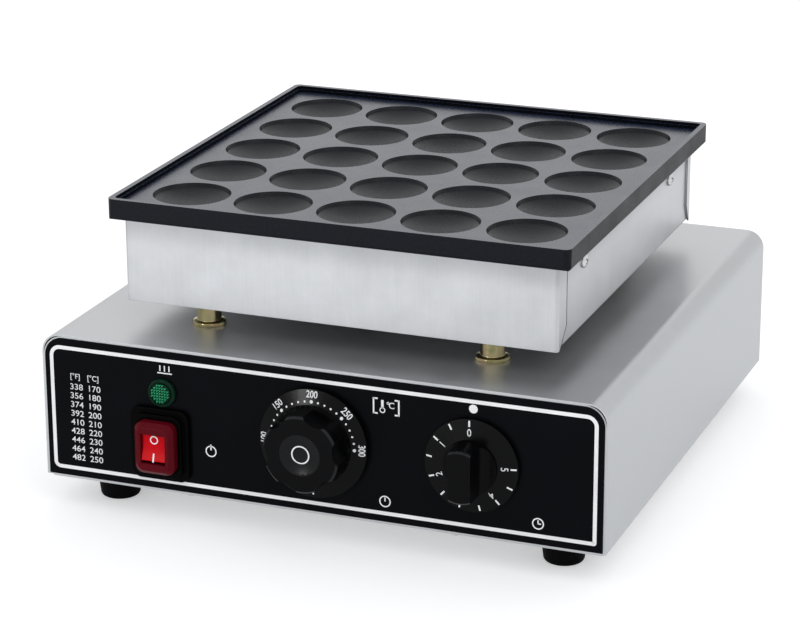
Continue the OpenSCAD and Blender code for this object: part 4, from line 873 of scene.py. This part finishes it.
# a bar for every half minute, numbered at the full ones
HALVES, TURN_PER_HALF, LEAN = 11, 27, -2.7
BARS_R, MINUTES_R = 24.4 * MM, 19.2 * MM
BAR_W, BAR_H = 0.95 * MM, 3.4 * MM
MINUTE_FIGURES = {"size": 4.2 * MM, "weight": 0.05 * MM, "stretch": 0.85}
marks = []
for count in range(HALVES):
    angle = LEAN - TURN_PER_HALF * count
    marks.append((bar(0, 0, BAR_W, BAR_H), angle, BARS_R))
    if count % 2 == 0:
        marks.append((figures(str(count // 2), 0, 0, **MINUTE_FIGURES), angle, MINUTES_R))
dial_marks(timer_knob, timer_at, marks, "timer_print", "timer_control")


# Switch
# A black bezel snapped into the panel holds a soft, wine-red cover. The red rocker tilts in
# the cover's window and carries a ring for off and a bar for on.
bezel = softened("switch_bezel", "switch_frame", edge=0.5 * MM, steps=3)
dress(bezel, hard_black)
fix(bezel, "cooker", "switch_black", "switch_bezel")

wine = moulded("wine_cover", (0.105, 0.003, 0.008, 1), roughness=0.24, fineness=1500.0,
               depth=0.01 * MM, Subsurface_Weight=0.3,
               Subsurface_Radius=(0.004, 0.0006, 0.0006), Specular_IOR_Level=0.05)
cover = softened("switch_boot", "switch_cover", edge=0.8 * MM, steps=3)
dress(cover, wine)
fix(cover, "cooker", "switch_red", "switch_boot")

scarlet = moulded("scarlet_rocker", (0.60, 0.003, 0.008, 1), roughness=0.30, fineness=2000.0,
                  depth=0.004 * MM, Subsurface_Weight=0.2,
                  Subsurface_Radius=(0.004, 0.0004, 0.0004), Specular_IOR_Level=0.04)
rocker = softened("switch_rocker", "rocker_cap", edge=0.4 * MM, steps=3)
dress(rocker, scarlet)
fix(rocker, "rocker", "switch_red", "switch_rocker")
RING_UP, RING_R, RING_LINE = 5.2 * MM, 2.5 * MM, 0.7 * MM
ON_DOWN, ON_W, ON_H = 5.0 * MM, 0.9 * MM, 5 * MM
off_ring = on_dial(ring(0, 0, RING_R, RING_LINE), rocker, rocker_at, 0, RING_UP)
on_bar = on_dial(bar(0, 0, ON_W, ON_H), rocker, rocker_at, 180, ON_DOWN)
signs = joined([off_ring, on_bar], "rocker_print")
dress(signs, ink)
fix(signs, "rocker", "switch_red")


# Pilot lamp
# A green plastic lens with a flange, moulded with small pyramids on its front, over a bulb
# in a barrel that a nut holds in the panel. The flange is a darker green, and the pyramid
# faces turned down or to the right get that darker green as painted shade.
green = moulded("green_lens", (0.006, 0.30, 0.12, 1), roughness=0.10, fineness=1200.0,
                depth=0.004 * MM, Specular_IOR_Level=0.3)
rim_and_shade_green = moulded("dark_green_rim", (0.0008, 0.020, 0.009, 1), roughness=0.16, fineness=1200.0,
                     depth=0.004 * MM, Specular_IOR_Level=0.08)
lens = softened("lamp_lens", "lamp_cap", edge=0.25 * MM, steps=3)
dress(lens, green, rim_and_shade_green)
RIM_AND_SHADE, TURNED_AWAY = 1, 0.5
for face in lens.data.polygons:
    face.material_index = RIM_AND_SHADE

PYRAMIDS, PYRAMID, PYRAMID_H = 7, 1.6 * MM, 0.7 * MM
FACETS_R = 5.2 * MM
lens_low, lens_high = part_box("lamp_lens")
lens_mid = (lens_low + lens_high) / 2
bpy.ops.mesh.primitive_grid_add(x_subdivisions=PYRAMIDS, y_subdivisions=PYRAMIDS,
                                size=PYRAMIDS * PYRAMID)
facets = bpy.context.object
facets.name = "lamp_facets"
bpy.ops.object.mode_set(mode="EDIT")
bpy.ops.mesh.select_all(action="DESELECT")
bpy.ops.object.mode_set(mode="OBJECT")
for square in facets.data.polygons:
    square.select = square.center.length > FACETS_R
bpy.ops.object.mode_set(mode="EDIT")
bpy.ops.mesh.delete(type="FACE")
bpy.ops.mesh.select_all(action="SELECT")
bpy.ops.mesh.poke(offset=PYRAMID_H)
bpy.ops.object.mode_set(mode="OBJECT")
placed(facets, facing_user(lens_mid.x, lens_low.y, lens_mid.z))
dress(facets, green, rim_and_shade_green)
# painted shade: pyramid faces turned down or to the right take the darker green, the others keep
# the bright green as their lit side
for facet in facets.data.polygons:
    if facet.normal.z < 0 or facet.normal.x > TURNED_AWAY:
        facet.material_index = RIM_AND_SHADE
lens = joined([lens, facets], "lamp_cap")
fix(lens, "cooker", "lens_green", "lamp_lens")


# Stage
# A white paper floor that keeps a soft shadow, a white surround, and three soft lights: one
# above the front right, one behind and a small card low at the front left.
FLOOR, GLOW = 12, 0.4
WHITE = (1, 1, 1, 1)
bpy.ops.object.select_all(action="DESELECT")
bpy.ops.mesh.primitive_plane_add(size=FLOOR, location=(0, 0, 0))
floor = bpy.context.object
floor.name = "floor"


def seen_rays(tree):
    """1 for what the camera sees, straight on, in a reflection or through glass."""
    path = put(tree, "ShaderNodeLightPath").outputs
    straight = maths(tree, "MAXIMUM", path["Is Camera Ray"], path["Is Glossy Ray"])
    return maths(tree, "MAXIMUM", straight, path["Is Transmission Ray"])


paper, tree, shader, _ = principled("paper", Base_Color=(0.80, 0.80, 0.80, 1), Roughness=0.9,
                                    Specular_IOR_Level=0.1)
glow = put(tree, "ShaderNodeEmission", None, Color=WHITE,
           Strength=times(tree, seen_rays(tree), GLOW))
both = put(tree, "ShaderNodeAddShader", None, _0=shader.outputs["BSDF"],
           _1=glow.outputs["Emission"])
tree.links.new(both.outputs["Shader"], tree.nodes["Material Output"].inputs["Surface"])
dress(floor, paper)

world = bpy.data.worlds.new("surround")
bpy.context.scene.world = world
world.use_nodes = True
sky = world.node_tree
surround = sky.nodes["Background"]
surround.inputs["Color"].default_value = (0.82, 0.83, 0.85, 1)
backdrop = put(sky, "ShaderNodeBackground", None, Color=WHITE, Strength=1.0)
pick = put(sky, "ShaderNodeMixShader", None, _0=seen_rays(sky),
           _1=surround.outputs["Background"], _2=backdrop.outputs["Background"])
sky.links.new(pick.outputs["Shader"], sky.nodes["World Output"].inputs["Surface"])

AIM = Vector((0, 0, 0.1))


def softbox(name, place, size, power):
    """A square soft light that points from its place at the middle of the part."""
    bpy.ops.object.light_add(type="AREA", location=place)
    lamp = bpy.context.object
    lamp.name = name
    lamp.data.size = size
    lamp.data.energy = power
    lamp.rotation_euler = (AIM - Vector(place)).to_track_quat("-Z", "Y").to_euler()


softbox("key_light", (1.3, -0.9, 1.9), size=1.4, power=6)
softbox("back_light", (-0.6, 1.9, 1.3), size=1.6, power=2)
softbox("front_card", (-1.0, -2.25, 0.18), size=0.3, power=7)


# Camera
# The photograph's view: a long lens from the front right, a little above the plate. Its
# place, turn and focal length were fitted to the photograph's frame.
PHOTO_W, FOCAL_PX, SENSOR = 800, 2903.6, 36.0
CAMERA_AT = (0.58325, -1.54087, 0.65186)
YAW, PITCH, ROLL = math.radians(21.128), math.radians(18.953), math.radians(-0.202)
CLIP_START = 0.05
bpy.ops.object.camera_add(location=CAMERA_AT)
camera = bpy.context.object
camera.name = "photo_camera"
look = (Matrix.Rotation(YAW, 4, "Z") @ Matrix.Rotation(math.pi / 2 - PITCH, 4, "X")
        @ Matrix.Rotation(ROLL, 4, "Z"))
camera.rotation_euler = look.to_euler()
camera.data.sensor_width = SENSOR
camera.data.lens = SENSOR * FOCAL_PX / PHOTO_W
camera.data.clip_start = CLIP_START
bpy.context.scene.camera = camera
bpy.context.scene.view_settings.view_transform = "Standard"
